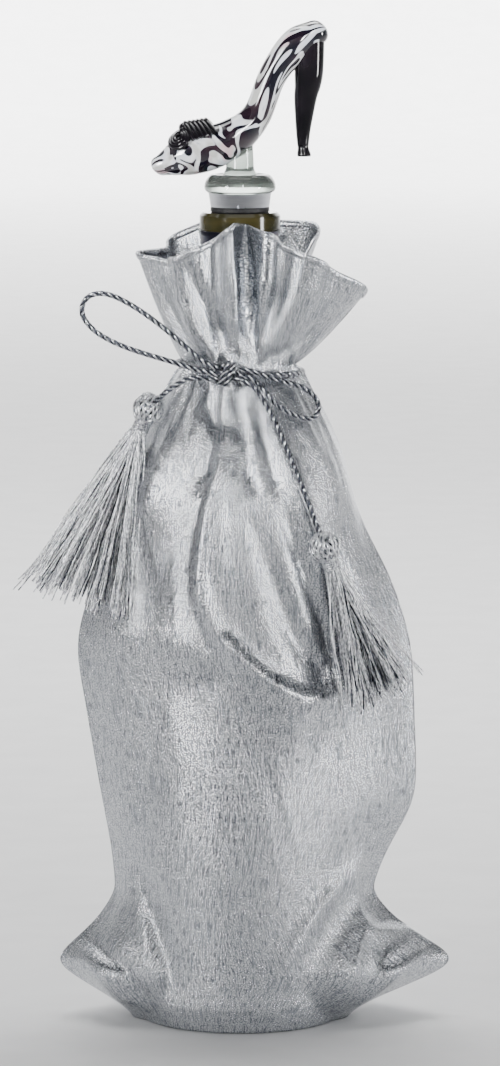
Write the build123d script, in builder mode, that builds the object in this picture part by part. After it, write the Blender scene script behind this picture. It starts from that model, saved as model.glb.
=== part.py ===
"""A tied wine gift bag: a sewn cloth bag round a bottle, a tasselled cord and a glass stopper.

The bag is cut from two flat panels, sewn down both sides and along the bottom. Pulled round a
bottle, each level of it becomes a lens: the panels wrap the glass in front and behind, and run
straight out from it to the side seams. Above the shoulder the cloth is gathered to the neck by a
twisted cord tied in a bow, and flares again into a frill round the mouth.

Millimetres, +Z up, the origin on the floor under the bottle's axis, the bag's front towards -Y.
"""

import os
from math import acos, atan2, cos, degrees, exp, inf, pi, radians, sin, tan

from build123d import *

os.makedirs("parts", exist_ok=True)

# ---------------------------------------------------------------- driving dimensions
cloth = 0.8  # the bag's wall, two layers of thin woven cloth
ease = 0.6  # the gap that the cloth keeps from what it wraps

bottle_radius = 37.5
bottle_height = 300.0
bottle_wall = 3.0
heel_radius = 6.0  # the rounding at the bottle's foot
punt_radius = 24.0
punt_depth = 18.0
shoulder_height = 192.0  # where the straight side ends, above the bottle's base
shoulder_rise = 36.0  # from there to where the neck begins
neck_radius = 14.0
lip_radius = 14.9
lip_height = 6.0
mouth_radius = 9.25

foil = 0.4  # the capsule's wall
capsule_rise = 3.4  # its lower edge, above the bottom of the neck
capsule_flare = 0.9  # how far its cut edge stands out
capsule_gap = 0.6  # between that edge and the lip

tie_above_shoulder = 14.2  # the cord's level, above the bottom of the bottle's neck
gather_radius = 23.0  # the outside of the bunched pleats under the cord
pleat_depth = 3.0  # from a pleat's crest to its valley, at the cord
gather_depth = 18.0  # how far below the cord the pleats begin to bunch
cloth_leaves = 5.2  # how far above its straight side the cloth leaves the bottle
foot_turn = 2.0  # how far the cloth draws in under the bottle's foot

# The side seams: a share of the cloth's shoulder height, then how far the left and the right
# seam stand out past the cloth's wrap round the bottle. The two corners of the bag are the ears.
seam_spare = [
    (0.000, 6.0, 6.0),
    (0.030, 13.0, 15.0),
    (0.110, 29.0, 36.5),
    (0.180, 15.0, 19.0),
    (0.240, 7.0, 9.5),
    (0.320, 9.0, 16.0),
    (0.410, 12.5, 26.0),
    (0.710, 21.5, 24.5),
    (0.840, 15.0, 17.0),
    (0.920, 10.5, 9.5),
    (1.000, 6.0, 3.5),
]
gather_spare = (6.0, 3.5)  # the same two distances where the pleats begin to bunch
tie_spare = 0.2
panel_steps = 22  # flats over a panel's width, below the cord
slack = 0.015  # how far the cloth bellies out between a seam and the glass, as a share of the way
fold_levels = [100.0, 120.0, 153.0]  # extra levels, where the seams run straight

# The main folds that the cord draws down the panels and that the corners' pinches throw up: how
# wide each is, then points on it: right of the axis, up, and how far the cloth stands out there.
front_folds = [
    (7.0, (-7, 219, 1.5), (-12, 198, 3.5), (-14, 171, 5), (-8, 150, 5.5), (10, 131, 5), (24, 126, 2)),
    (5.0, (-20, 226, 0.5), (-25, 206, 2.5), (-30, 188, 2.5), (-38, 166, 1)),
    (5.0, (10, 224, 1), (16, 205, 2.5), (18, 186, 2.5), (20, 166, 2)),
    (9.0, (-50, 148, 0.5), (-34, 146, 2.5), (-20, 138, 2.5), (-4, 112, 1)),
    (7.0, (46, 63, 1), (40, 57, 3), (28, 45, 3.5), (18, 30, 2), (12, 14, 0.5)),
    (6.0, (-47, 58, 1), (-38, 42, 3), (-30, 22, 1.5)),
]
back_folds = [
    (7.0, (-8, 219, 1.5), (-14, 198, 4), (-18, 168, 4.5), (-15, 142, 2)),
    (7.0, (12, 222, 1.5), (18, 198, 3.5), (25, 166, 3.5), (30, 146, 1)),
    (6.0, (-26, 218, 1), (-34, 196, 2.5), (-42, 176, 1)),
    (10.0, (-38, 128, 1), (-14, 118, 3), (12, 124, 3), (36, 114, 1)),
    (7.0, (-47, 60, 1), (-36, 44, 3), (-25, 22, 1.5)),
    (7.0, (47, 62, 1), (36, 46, 3), (26, 24, 1.5)),
]
tie_band = 3.0  # the height of the drawn-in neck of cloth that the cord sits on

frill_height = 55.5  # from the neck of cloth to the top of the frill, before it is trimmed
# Crests and valleys of the frill, counted from the right seam towards the back: the distance
# from the axis that each one has flared to at the frill's full height.
frill_flare = [75.0, 40.0, 39.0, 24.0, 34.0, 28.0, 43.0, 26.0, 33.0, 18.5, 34.0, 42.0]
# The mouth's edge, seen from the front: the distance right of the axis, and the drop below the
# frill's full height.
front_edge = [(-90.0, 14.5), (-38.0, 14.5), (-24.0, 17.0), (0.0, 5.0), (13.0, 10.0), (90.0, 57.0)]
back_edge = [(-90.0, 40.0), (-38.0, 14.5), (-17.0, 3.0), (27.0, 4.0), (47.0, 31.0), (90.0, 57.0)]
frill_levels = (0.0, 0.16, 0.42, 1.0)  # shares of the frill's height
frill_steps = 18  # flats round one panel's half
hem_depth = 4.0
hem_fold = 0.35  # what the folded edge adds to each face of the cloth

seam_allowance = 5.0
seam_thickness = 1.2
seam_reach = 0.3  # how far past the bag's inner corner it is cut before fitting

cord_radius = 0.9
cord_swell = (pi / (8 * sin(pi / 8) * cos(pi / 8))) ** 0.5  # a round's radius to an octagon's
cord_gap = 0.3
knot_left = -8.0  # the knot's end faces, from the bag's middle
knot_right = 0.0
knot_back = -24.2
knot_front = -30.2
knot_rise = 7.0
knot_corner = 2.2

left_tail_past = -4.02  # where each tail ends, out past the cloth's wrap round the bottle
right_tail_past = 5.94
tassel_head_radius = 5.6
tassel_gap = 0.3  # from the cord's end to the head
binding_radius = 3.3
binding_length = 4.0
skirt_root_radius = 2.9

plug_top_radius = 11.6
plug_flange_radius = 10.9
plug_flange_height = 5.1
gasket_radius = 10.85
gasket_height = 2.0
gasket_chamfer = 0.4
shaft_radius = 6.6
shaft_tip_radius = 5.2
shaft_length = 29.0
ring_count = 4
ring_pitch = 6.0
ring_height = 3.0
ring_first = 3.5  # from the gasket to the first ring
seal_clearance = 0.3

glass_foot_radius = 13.2
glass_foot_height = 6.8
spigot_radius = 5.0
spigot_depth = 3.0
stem_radius = 4.6
stem_rise = 14.0
stem_flare = 0.6  # how much wider the stem is where it leaves the disc
stem_flare_height = 2.2
shoe_datum = 13.9  # how far under the disc's top the shoe's own heights are counted from

# ---------------------------------------------------------------- values worked out from these
base_top = cloth  # the bottle stands on the bag's floor
side_top = base_top + shoulder_height
neck_bottom = side_top + shoulder_rise
cloth_shoulder = side_top + cloth_leaves
tie_height = neck_bottom + tie_above_shoulder
wrap_radius = bottle_radius + ease + cloth
mouth_height = base_top + bottle_height
capsule_radius = neck_radius + foil
capsule_top = mouth_height - lip_height - capsule_gap
neck_clear = capsule_radius + ease
band_low = tie_height - tie_band / 2
band_high = tie_height + tie_band / 2
frill_top = band_high + frill_height
gasket_base = mouth_height
flange_base = gasket_base + gasket_height
foot_base = flange_base + plug_flange_height
shoe_base = foot_base + glass_foot_height - shoe_datum


def save(part, name):
    """Labels a finished piece and writes its STEP file."""
    part.label = name
    export_step(part, f"parts/{name}.step")


# ---------------------------------------------------------------- the bottle and its capsule
def shoulder_curve(low, high):
    """Two equal arcs from one upright side to a narrower one above it."""
    across, rise = (low[0] - high[0]) / 2, (high[1] - low[1]) / 2
    radius = (across**2 + rise**2) / (2 * across)
    turn = degrees(2 * atan2(across, rise))
    shoulder = JernArc(start=low, tangent=(0, 1), radius=radius, arc_size=turn)
    JernArc(start=shoulder @ 1, tangent=shoulder % 1, radius=radius, arc_size=-turn)


def make_bottle(keep):
    """The bottle's body below its shoulder, or the shoulder and neck above it."""
    inner = bottle_radius - bottle_wall
    floor = base_top + punt_depth + bottle_wall
    with BuildPart() as bottle:
        with BuildSketch(Plane.XZ):
            with BuildLine():
                foot = (bottle_radius - heel_radius, base_top)
                side = (bottle_radius, base_top + heel_radius)
                shoulder = (bottle_radius, side_top)
                neck = (neck_radius, neck_bottom)
                ThreePointArc(
                    (0, base_top + punt_depth),
                    (punt_radius * 0.6, base_top + punt_depth * 0.6),
                    (punt_radius, base_top),
                )
                Line((punt_radius, base_top), foot)
                RadiusArc(foot, side, -heel_radius)
                Line(side, shoulder)
                shoulder_curve(shoulder, neck)
                Polyline(
                    neck,
                    (neck_radius, mouth_height - lip_height),
                    (lip_radius, mouth_height - lip_height),
                    (lip_radius, mouth_height),
                    (mouth_radius, mouth_height),
                    (mouth_radius, neck_bottom),
                )
                shoulder_curve((inner, side_top), (mouth_radius, neck_bottom))
                Polyline(
                    (inner, side_top),
                    (inner, floor),
                    (0, floor),
                    (0, base_top + punt_depth),
                )
            make_face()
        revolve(axis=Axis.Z)
        rim = bottle.edges().filter_by(GeomType.CIRCLE).group_by(Axis.Z)[-1]
        chamfer(rim, lip_height / 5)
        split(bisect_by=Plane.XY.offset(side_top), keep=keep)
    return bottle.part


def make_capsule():
    """The foil sleeve left on the neck, cut off under the lip, with its cut edge turned out."""
    bottom = neck_bottom + capsule_rise
    bore = neck_radius
    with BuildPart() as capsule:
        with BuildSketch(Plane.XZ):
            with BuildLine():
                Polyline(
                    (bore, bottom),
                    (capsule_radius, bottom),
                    (capsule_radius, capsule_top - 2 * capsule_flare),
                    (capsule_radius + capsule_flare, capsule_top),
                    (neck_radius + capsule_flare, capsule_top),
                    (bore, capsule_top - 2 * capsule_flare),
                    close=True,
                )
            make_face()
        revolve(axis=Axis.Z)
    return capsule.part


# ---------------------------------------------------------------- the bag
def stations():
    """The levels of the cloth below the cord: height, left reach, right reach, wrap radius."""
    levels = []
    for share, left, right in seam_spare:
        wrap = wrap_radius - (foot_turn if share == 0 else 0)
        levels.append((share * cloth_shoulder, wrap + left, wrap + right, wrap))
    for height in fold_levels:
        below, above = [
            pick(level for level in levels if (level[0] > height) == up)
            for pick, up in ((max, False), (min, True))
        ]
        share = (height - below[0]) / (above[0] - below[0])
        levels.append(tuple(a + (b - a) * share for a, b in zip(below, above)))
    levels.sort()
    bunch = tie_height - gather_depth
    run = (bunch - cloth_shoulder) / (tie_height - cloth_shoulder)
    wrap = wrap_radius + (gather_radius - wrap_radius) * run
    levels.append((bunch, wrap + gather_spare[0], wrap + gather_spare[1], wrap))
    reach = gather_radius + tie_spare
    levels.append((band_low, reach, reach, gather_radius))
    levels.append((band_high, reach, reach, gather_radius))
    return levels


def fold_lift(x, z, folds):
    """How far the folds make the cloth stand out at a place seen from the front."""
    total = 0
    at = Vector(x, z)
    for width, *line in folds:
        nearest = (inf, 0)
        for (x0, z0, low), (x1, z1, high) in zip(line, line[1:]):
            start, run = Vector(x0, z0), Vector(x1 - x0, z1 - z0)
            share = min(1, max(0, (at - start).dot(run) / run.dot(run)))
            away = (at - start - run * share).length
            nearest = min(nearest, (away, low + (high - low) * share))
        total += nearest[1] * exp(-((nearest[0] / width) ** 2))
    return total


def half_lens(height, left, right, wrap, side, folds):
    """Points along one panel's half of a level: from a seam to the glass, round it and out again.

    side is -1 in front and 1 behind. The cloth from each seam runs tangent to the wrapped circle.
    """
    turn_left, turn_right = acos(wrap / left), acos(wrap / right)
    out_left, out_right = left * sin(turn_left), right * sin(turn_right)
    arc = wrap * (pi - turn_left - turn_right)
    points = [(-left, 0)]
    for step in range(1, panel_steps):
        run = (out_left + arc + out_right) * step / panel_steps
        angle = pi - turn_left - min(max(run - out_left, 0), arc) / wrap
        face = Vector(cos(angle), side * sin(angle))
        beyond = max(run - out_left - arc, 0) - max(out_left - run, 0)
        straight = Vector(face.Y, -face.X) * side * beyond
        flat = out_right if beyond > 0 else out_left
        at = face * (wrap + slack * flat * sin(pi * abs(beyond) / flat)) + straight
        held = min(1, 2.5 * min(step, panel_steps - step) / panel_steps)
        at += face * held * fold_lift(at.X, height, folds)
        points.append((at.X, at.Y))
    return [*points, (right, 0)]


def frill_reach(angle, share):
    """How far the frill reaches from the axis, at an angle and at a share of its height."""
    steps = len(frill_flare)
    place = (angle % 360) / 360 * steps
    low = int(place)
    ease_in = (1 - cos(pi * (place - low))) / 2
    flare = [frill_flare[i % steps] for i in (low, low + 1)]
    start = [gather_radius - (pleat_depth if i % 2 else 0) for i in (low, low + 1)]
    ends = [one + (other - one) * share for one, other in zip(start, flare)]
    return ends[0] + (ends[1] - ends[0]) * ease_in


def frill_outline(share, side, sink):
    """Points along one panel's half of the frill, sunk a distance square to its face."""
    start = 180 if side < 0 else 0
    points = []
    for step in range(frill_steps + 1):
        angle = start + 180 * step / frill_steps
        around = [Vector(frill_reach(a, share), 0).rotate(Axis.Z, a) for a in (angle - 2, angle + 2)]
        face = (around[1] - around[0]).normalized().rotate(Axis.Z, 90)
        at = Vector(frill_reach(angle, share), 0).rotate(Axis.Z, angle)
        points.append(at + face * sink)
    ends = (0, frill_steps)
    return [(p.X, 0 if i in ends else p.Y) for i, p in enumerate(points)]


def bunched(share, side, points):
    """The inner face of the frill: drawn in to a ring round the neck where the cord pulls."""
    pull = (1 - share) ** 5
    start = 180 if side < 0 else 0
    inner = []
    for step, (x, y) in enumerate(points):
        turn = radians(start + 180 * step / frill_steps)
        ring = (neck_clear * cos(turn), neck_clear * sin(turn))
        inner.append((x + (ring[0] - x) * pull, y + (ring[1] - y) * pull))
    return [(x, 0 if i in (0, frill_steps) else y) for i, (x, y) in enumerate(inner)]


def frill_half(side, thicken):
    """One panel's half of the frill: bunched solid at the cord and one cloth thick at the top."""
    with BuildPart() as frill:
        for share in frill_levels:
            outer = frill_outline(share, side, -thicken)
            inner = bunched(share, side, frill_outline(share, side, cloth + thicken))
            with BuildSketch(Plane.XY.offset(band_high + frill_height * share)):
                with BuildLine():
                    Polyline(*outer, *inner[::-1], close=True)
                make_face()
        loft(ruled=True)
    return frill.part


def under_edge(edge, top_drop, bottom_drop):
    """Everything between two copies of the mouth's edge line, seen from the front."""
    upper = [(x, frill_top - drop - top_drop) for x, drop in edge]
    lower = [(x, frill_top - drop - bottom_drop) for x, drop in reversed(edge)]
    with BuildPart() as region:
        with BuildSketch(Plane.XZ):
            with BuildLine():
                Polyline(*upper, *lower, close=True)
            make_face()
        extrude(amount=3 * wrap_radius, both=True)
    return region.part


def make_panel(side, edge, folds):
    """A panel from the floor to the cord as a shell, and from the cord to its hem as a frill."""
    levels = stations()
    share = cloth / levels[1][0]
    floor = tuple(a + (b - a) * share for a, b in zip(levels[0], levels[1]))
    with BuildPart() as panel:
        for level in (levels[0], floor):
            with BuildSketch(Plane.XY.offset(level[0])):
                with BuildLine():
                    Polyline(*half_lens(*level, side, folds), close=True)
                make_face()
        loft(ruled=True)
        for height, left, right, wrap in (floor, *levels[1:]):
            inside = neck_clear if height > tie_height - tie_band else wrap - cloth
            shrink = inside / wrap
            outer = half_lens(height, left, right, wrap, side, folds)
            inner = half_lens(height, left * shrink, right * shrink, inside, side, folds)
            with BuildSketch(Plane.XY.offset(height)):
                with BuildLine():
                    Polyline(*outer, *inner[::-1], close=True)
                make_face()
        loft(ruled=True)
        frill = frill_half(side, 0)
        add(frill & under_edge(edge, hem_depth, 2 * frill_height))
    return panel.part


def make_hem(side, edge):
    """The folded edge round the mouth, on top of its panel."""
    with BuildPart() as hem:
        add(frill_half(side, hem_fold) & under_edge(edge, 0, hem_depth))
    return hem.part


def make_seam(side, panels):
    """The sewn allowance inside one side seam, fitted between the two panels."""
    column = 1 if side < 0 else 2
    outer = []
    for level in stations():
        height, reach, wrap = level[0], level[column], level[3]
        corner = reach * (wrap - cloth) / wrap + seam_reach
        roomy = corner - seam_allowance > bottle_radius + cord_gap
        if cloth < height < cloth_shoulder and roomy:
            outer.append((side * corner, height))
    inner = [(x - side * seam_allowance, z) for x, z in reversed(outer)]
    with BuildPart() as seam:
        with BuildSketch(Plane.XZ):
            with BuildLine():
                Polyline(*outer, *inner, close=True)
            make_face()
        extrude(amount=seam_thickness / 2, both=True)
        for panel in panels:
            add(panel, mode=Mode.SUBTRACT)
        keep = seam.solids().sort_by(SortBy.VOLUME)[-1]
    return Part(keep.wrapped)


# ---------------------------------------------------------------- the cord and its bow
ring_radius = gather_radius + cord_gap + cord_radius

# Routes of the free cord, chosen by hand: x, y, and z from the cord's level. Each starts and
# ends square to an end face of the knot, or ends at a tassel.
left_loop_route = [
    (-8.0, -28.2, 1.9),
    (-11.5, -28.2, 1.9),
    (-18.5, -27.2, 7.2),
    (-28.5, -26.0, 15.5),
    (-39.5, -25.0, 22.8),
    (-49.0, -24.0, 27.0),
    (-56.0, -23.0, 25.5),
    (-58.5, -22.5, 19.0),
    (-54.0, -22.8, 12.5),
    (-46.0, -23.8, 8.2),
    (-36.5, -25.0, 5.2),
    (-25.5, -26.6, 2.6),
    (-14.5, -28.2, -0.2),
    (-8.0, -28.2, -0.2),
]
right_loop_route = [
    (0.0, -28.6, 2.1),
    (4.0, -28.6, 2.1),
    (11.0, -28.6, -0.8),
    (18.5, -26.8, -2.8),
    (25.0, -23.8, -5.5),
    (29.5, -21.2, -11.0),
    (27.5, -24.0, -16.8),
    (21.0, -27.6, -15.2),
    (13.0, -30.8, -10.5),
    (8.0, -31.0, -4.0),
    (4.2, -28.8, -0.1),
    (0.0, -28.8, -0.1),
]
left_tail_route = [
    (-8.0, -26.6, -2.3),
    (-12.5, -26.6, -2.3),
    (-18.5, -26.8, -1.6),
    (-24.5, -24.4, -4.4),
    (-28.6, -20.0, -8.0),
    (-31.3, -15.4, -11.0),
]
right_tail_route = [
    (0.0, -28.2, -2.3),
    (4.0, -28.2, -2.3),
    (8.5, -29.6, -8.5),
    (13.5, -31.8, -17.5),
    (18.5, -34.4, -29.0),
    (22.8, -36.4, -40.0),
    (26.5, -35.6, -50.0),
    (29.0, -34.2, -57.0),
]


def make_knot(tie):
    """The bow's knot: the cord wound round its own crossing, flat where the strands leave it."""
    with BuildPart() as knot:
        with BuildSketch(Plane.YZ.offset(knot_left)):
            with Locations(((knot_back + knot_front) / 2, tie_height)):
                RectangleRounded(knot_back - knot_front, knot_rise, knot_corner)
        extrude(amount=knot_right - knot_left)
        add(tie, mode=Mode.SUBTRACT)
    return knot.part


def make_tie():
    """The cord's turn round the gathers, behind the knot."""
    with BuildPart() as tie:
        with BuildSketch(Plane.XZ):
            with Locations((ring_radius, tie_height)):
                RegularPolygon(cord_radius * cord_swell, 8)
        revolve(axis=Axis.Z)
    return tie.part


def laid(route, past_wrap):
    """A tail's points, moved so that its end stands so far out past the bag's wrap."""
    reaches = [Vector(x, y, 0).length for x, y, z in route]
    shift = wrap_radius + past_wrap - reaches[-1]
    points = []
    for at, reach in zip(route, reaches):
        share = min(1, (reach - reaches[0]) / (reaches[-1] - reaches[0]))
        points.append(Vector(*at) + Vector(at[0], at[1], 0).normalized() * share * shift)
    return [tuple(point) for point in points]


def smooth_route(points):
    """A tube's path: straight runs joined by the largest arcs that the runs allow."""
    radii = []
    for before, at, after in zip(points, points[1:], points[2:]):
        one, two = Vector(*at) - Vector(*before), Vector(*after) - Vector(*at)
        half_turn = radians(one.get_angle(two)) / 2
        radii.append(0.45 * min(one.length, two.length) / tan(half_turn))
    return FilletPolyline(*points, radius=radii), radii


def make_cord(name, route):
    """A free stretch of the cord, as an eight-sided tube with a round cord's section area."""
    points = [(x, y, tie_height + z) for x, y, z in route]
    with BuildPart() as tube:
        with BuildLine() as line:
            path, radii = smooth_route(points)
        with BuildSketch(Plane(origin=path @ 0, z_dir=path % 0)):
            RegularPolygon(cord_radius * cord_swell, 8)
        sweep()
    ideal = pi * cord_radius**2 * path.length
    print(f"{name}: {path.length:.1f} mm long, radii {[round(r, 1) for r in radii]},", end=" ")
    print(f"volume {tube.part.volume:.1f} of {ideal:.1f}")
    return tube.part


# ---------------------------------------------------------------- the tassels
class Tassel:
    """Where a tassel hangs: its head at the end of a tail, its skirt fanned out along the bag."""

    def __init__(self, route, past_wrap, skirt_end, spread, fan, thickness):
        before, last = (Vector(x, y, tie_height + z) for x, y, z in laid(route, past_wrap)[-2:])
        along = (last - before).normalized()
        self.head = last + along * (tassel_head_radius + tassel_gap)
        x, y, z = skirt_end
        shift = Vector(last.X, last.Y).length - Vector(*route[-1][:2]).length
        end = Vector(x, y, tie_height + z) + Vector(x, y).normalized() * shift
        self.down = (end - self.head).normalized()
        self.length = (end - self.head).length
        across = Vector(*spread)
        self.across = (across - self.down * across.dot(self.down)).normalized()
        self.fan = fan
        self.thickness = thickness

    def plane(self, distance):
        return Plane(
            origin=self.head + self.down * distance, x_dir=self.across, z_dir=self.down
        )


left_end, right_end = (-61.0, -14.0, -86.0), (52.5, -27.0, -119.0)
left_tassel = Tassel(left_tail_route, left_tail_past, left_end, (0.86, -0.5, 0), 21.0, 4.2)
right_tassel = Tassel(right_tail_route, right_tail_past, right_end, (0.8, 0.6, 0), 15.0, 3.6)


def make_head(tassel):
    with BuildPart() as head:
        with Locations(Location(tassel.plane(0))):
            Sphere(tassel_head_radius)
        with Locations(Location(tassel.plane(tassel_head_radius))):
            Cylinder(binding_radius, tassel_head_radius, mode=Mode.SUBTRACT)
    return head.part


def make_binding(tassel):
    """The thread wound tight under the head, a ring round the top of the skirt."""
    top = tassel_head_radius / 2
    with BuildPart() as binding:
        with BuildSketch(tassel.plane(top)):
            Circle(binding_radius)
            Circle(skirt_root_radius, mode=Mode.SUBTRACT)
        extrude(amount=binding_length + tassel_head_radius - top)
    return binding.part


def make_skirt(tassel):
    """The bundle of threads, round at its root and a flat fan at its cut end."""
    root = tassel_head_radius / 2
    with BuildPart() as skirt:
        with BuildSketch(tassel.plane(root)):
            Circle(skirt_root_radius)
        extrude(amount=binding_length + tassel_head_radius - root)
        start = binding_length + tassel_head_radius
        levels = [(0.0, 0.0), (0.3, 0.42), (0.65, 0.8), (1.0, 1.0)]
        for share, open_share in levels:
            with BuildSketch(tassel.plane(start + (tassel.length - start) * share)):
                Ellipse(
                    skirt_root_radius + (tassel.fan - skirt_root_radius) * open_share,
                    skirt_root_radius + (tassel.thickness - skirt_root_radius) * open_share,
                )
        loft()
    return skirt.part


# ---------------------------------------------------------------- the stopper
def make_plug():
    """The chromed plug: a flared flange on a tapered shaft that carries the seal rings."""
    bottom = flange_base - gasket_height - shaft_length
    with BuildPart() as plug:
        with BuildSketch(Plane.XZ):
            with BuildLine():
                Polyline(
                    (0, bottom),
                    (shaft_tip_radius, bottom),
                    (shaft_radius, flange_base),
                    (plug_flange_radius, flange_base),
                    (plug_top_radius, foot_base),
                    (spigot_radius, foot_base),
                    (spigot_radius, foot_base - spigot_depth),
                    (0, foot_base - spigot_depth),
                    close=True,
                )
            make_face()
        revolve(axis=Axis.Z)
        chamfer(plug.edges().group_by(Axis.Z)[0], shaft_tip_radius / 5)
    return plug.part


def shaft_at(height):
    """The plug's shaft radius at a height."""
    bottom = gasket_base - shaft_length
    return shaft_tip_radius + (shaft_radius - shaft_tip_radius) * (height - bottom) / (
        flange_base - bottom
    )


def make_gasket():
    """The soft washer that seals the flange on the bottle's lip."""
    with BuildPart() as gasket:
        with BuildSketch(Plane.XZ):
            with BuildLine():
                Polyline(
                    (shaft_at(gasket_base), gasket_base),
                    (gasket_radius - gasket_chamfer, gasket_base),
                    (gasket_radius, gasket_base + gasket_chamfer),
                    (gasket_radius, flange_base - gasket_chamfer),
                    (gasket_radius - gasket_chamfer, flange_base),
                    (shaft_at(flange_base), flange_base),
                    close=True,
                )
            make_face()
        revolve(axis=Axis.Z)
    return gasket.part


def make_rings():
    """The soft seal rings on the shaft, each a fin that thins towards the bottle's wall."""
    outer = mouth_radius - seal_clearance
    with BuildPart() as rings:
        for index in range(ring_count):
            top = gasket_base - ring_first - ring_pitch * index
            low = top - ring_height
            with BuildSketch(Plane.XZ):
                with BuildLine():
                    Polyline(
                        (shaft_at(low), low),
                        (outer, low + 0.4 * ring_height),
                        (shaft_at(top), top),
                        close=True,
                    )
                make_face()
            revolve(axis=Axis.Z)
    return rings.part


# The shoe on the stopper: along its middle line, each section's place (right of the axis and
# above its datum), its lean from upright, half its height and half its width.
shoe_sections = [
    (-28.9, 17.0, 62.0, 4.0, 3.9),
    (-19.5, 21.0, 68.0, 7.9, 7.7),
    (-10.5, 23.9, 62.0, 8.3, 8.6),
    (-2.0, 27.8, 52.0, 7.2, 8.0),
    (6.2, 35.8, 32.0, 5.5, 6.3),
    (12.2, 50.4, 24.0, 5.3, 5.6),
    (20.6, 61.4, 45.0, 6.3, 6.4),
    (28.0, 66.0, 62.0, 4.8, 5.2),
]
shoe_toe = (-32.3, 16.0)
shoe_back = (31.8, 67.4)
# The heel, from inside the shoe down to its tip: place, half its depth and half its width.
heel_sections = [
    (26.0, 63.5, 5.0, 4.8),
    (25.4, 52.0, 5.3, 4.4),
    (24.9, 46.0, 4.8, 3.9),
    (24.1, 41.6, 4.2, 3.4),
    (23.3, 30.6, 2.8, 2.6),
    (23.2, 24.4, 2.1, 2.1),
]
heel_tip_height = 4.0
heel_tip_radius = 2.6


def shoe_plane(x, z, lean):
    """A plane across the shoe, whose normal leans from +Z towards +X by lean degrees."""
    return Plane(
        origin=(x, 0, shoe_base + z),
        x_dir=(0, 1, 0),
        z_dir=(sin(radians(lean)), 0, cos(radians(lean))),
    )


def make_shoe():
    """The shoe's body: one smooth skin from the toe to the back of the heel cup."""
    with BuildPart() as shoe:
        sections = []
        for x, z, lean, half_height, half_width in shoe_sections:
            with BuildSketch(shoe_plane(x, z, lean)) as section:
                Ellipse(half_width, half_height)
            sections.append(section.sketch)
        toe = Vertex(shoe_toe[0], 0, shoe_base + shoe_toe[1])
        back = Vertex(shoe_back[0], 0, shoe_base + shoe_back[1])
        loft([toe, *sections, back])
    return shoe.part


def make_heel(shoe):
    """The tall heel, fitted to the underside of the shoe's seat."""
    with BuildPart() as heel:
        for x, z, half_depth, half_width in heel_sections:
            with BuildSketch(Plane((x, 0, shoe_base + z), x_dir=(1, 0, 0), z_dir=(0, 0, -1))):
                Ellipse(half_depth, half_width)
        loft()
        add(shoe, mode=Mode.SUBTRACT)
        keep = heel.solids().sort_by(Axis.Z)[0]
    return Part(keep.wrapped)


def make_heel_tip():
    """The small flared tip under the heel."""
    x, z, half_depth, half_width = heel_sections[-1]
    with BuildPart() as tip:
        with BuildSketch(Plane((x, 0, shoe_base + z), x_dir=(1, 0, 0), z_dir=(0, 0, -1))):
            Ellipse(half_depth, half_width)
        drop = shoe_base + z - heel_tip_height
        with BuildSketch(Plane((x + 0.4, 0, drop), x_dir=(1, 0, 0), z_dir=(0, 0, -1))):
            Circle(heel_tip_radius)
        loft(ruled=True)
    return tip.part


def make_glass_foot(shoe):
    """The clear foot: a spigot in the plug, a rounded disc and a short stem up to the sole."""
    low, high = foot_base, foot_base + glass_foot_height
    with BuildPart() as foot:
        with BuildSketch(Plane.XZ):
            with BuildLine():
                Polyline(
                    (0, low - spigot_depth),
                    (spigot_radius, low - spigot_depth),
                    (spigot_radius, low),
                    (plug_top_radius, low),
                )
                Spline(
                    (plug_top_radius, low),
                    (glass_foot_radius, low + 0.35 * glass_foot_height),
                    (0.75 * glass_foot_radius, high),
                    (stem_radius + stem_flare, high + stem_flare_height),
                    tangents=[(1, 0.4), (-0.4, 1)],
                )
                Polyline(
                    (stem_radius + stem_flare, high + stem_flare_height),
                    (stem_radius, high + stem_rise),
                    (0, high + stem_rise),
                    (0, low - spigot_depth),
                )
            make_face()
        revolve(axis=Axis.Z)
        add(shoe, mode=Mode.SUBTRACT)
        keep = foot.solids().sort_by(Axis.Z)[0]
    return Part(keep.wrapped)


# The bow on the shoe's vamp, drawn out of one gather of hot glass.
bow_along = -18.2
bow_rise = 30.4
bow_bead_radius = 2.4
bow_loop_radius = 2.7
bow_loop_wire = 1.0
bow_wing_turn = 42.0  # round from the heel's side, degrees
bow_wing_climb = 0.16
bow_wing_sections = [(0.5, 1.6, 1.2), (5.0, 4.2, 2.0), (8.6, 4.6, 1.5)]  # reach, width, thickness
bow_pleats = 4
bow_middle = Vector(bow_along, 0, shoe_base + bow_rise)


def make_bow_loop(side):
    """A six-sided ring of glass on one side of the bead, leaning down the shoe's side."""
    middle = bow_middle + Vector(-0.95, side * 1.95, -0.35) * bow_bead_radius
    lean = Vector(-0.35, 0.75 * side, 0.55).normalized()
    across = lean.cross(Vector(1, 0, 0)).normalized()
    with BuildPart() as loop:
        with BuildSketch(Plane(middle, x_dir=across, z_dir=across.cross(lean))):
            with Locations((bow_loop_radius, 0)):
                RegularPolygon(bow_loop_wire, 6)
        revolve(axis=Axis(middle, lean))
    return loop.part


def make_bow_wing(side):
    """The pleated ribbon on one side, folded to and fro, from the bead out over the vamp."""
    turn = radians(bow_wing_turn)
    along = Vector(cos(turn), side * sin(turn), bow_wing_climb).normalized()
    across = along.cross(Vector(0, 0, 1)).normalized()
    with BuildPart() as wing:
        for reach, half_width, thickness in bow_wing_sections:
            folds = 2 * bow_pleats
            crest = [(half_width * (1 - 2 * i / folds), thickness * (1 if i % 2 else 0.55)) for i in range(folds + 1)]
            level = Plane(bow_middle + along * reach, x_dir=across, z_dir=along)
            with BuildSketch(level):
                with BuildLine():
                    Polyline((half_width, -thickness / 2), *crest, (-half_width, -thickness / 2), close=True)
                make_face()
        loft(ruled=True)
    return wing.part


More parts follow.
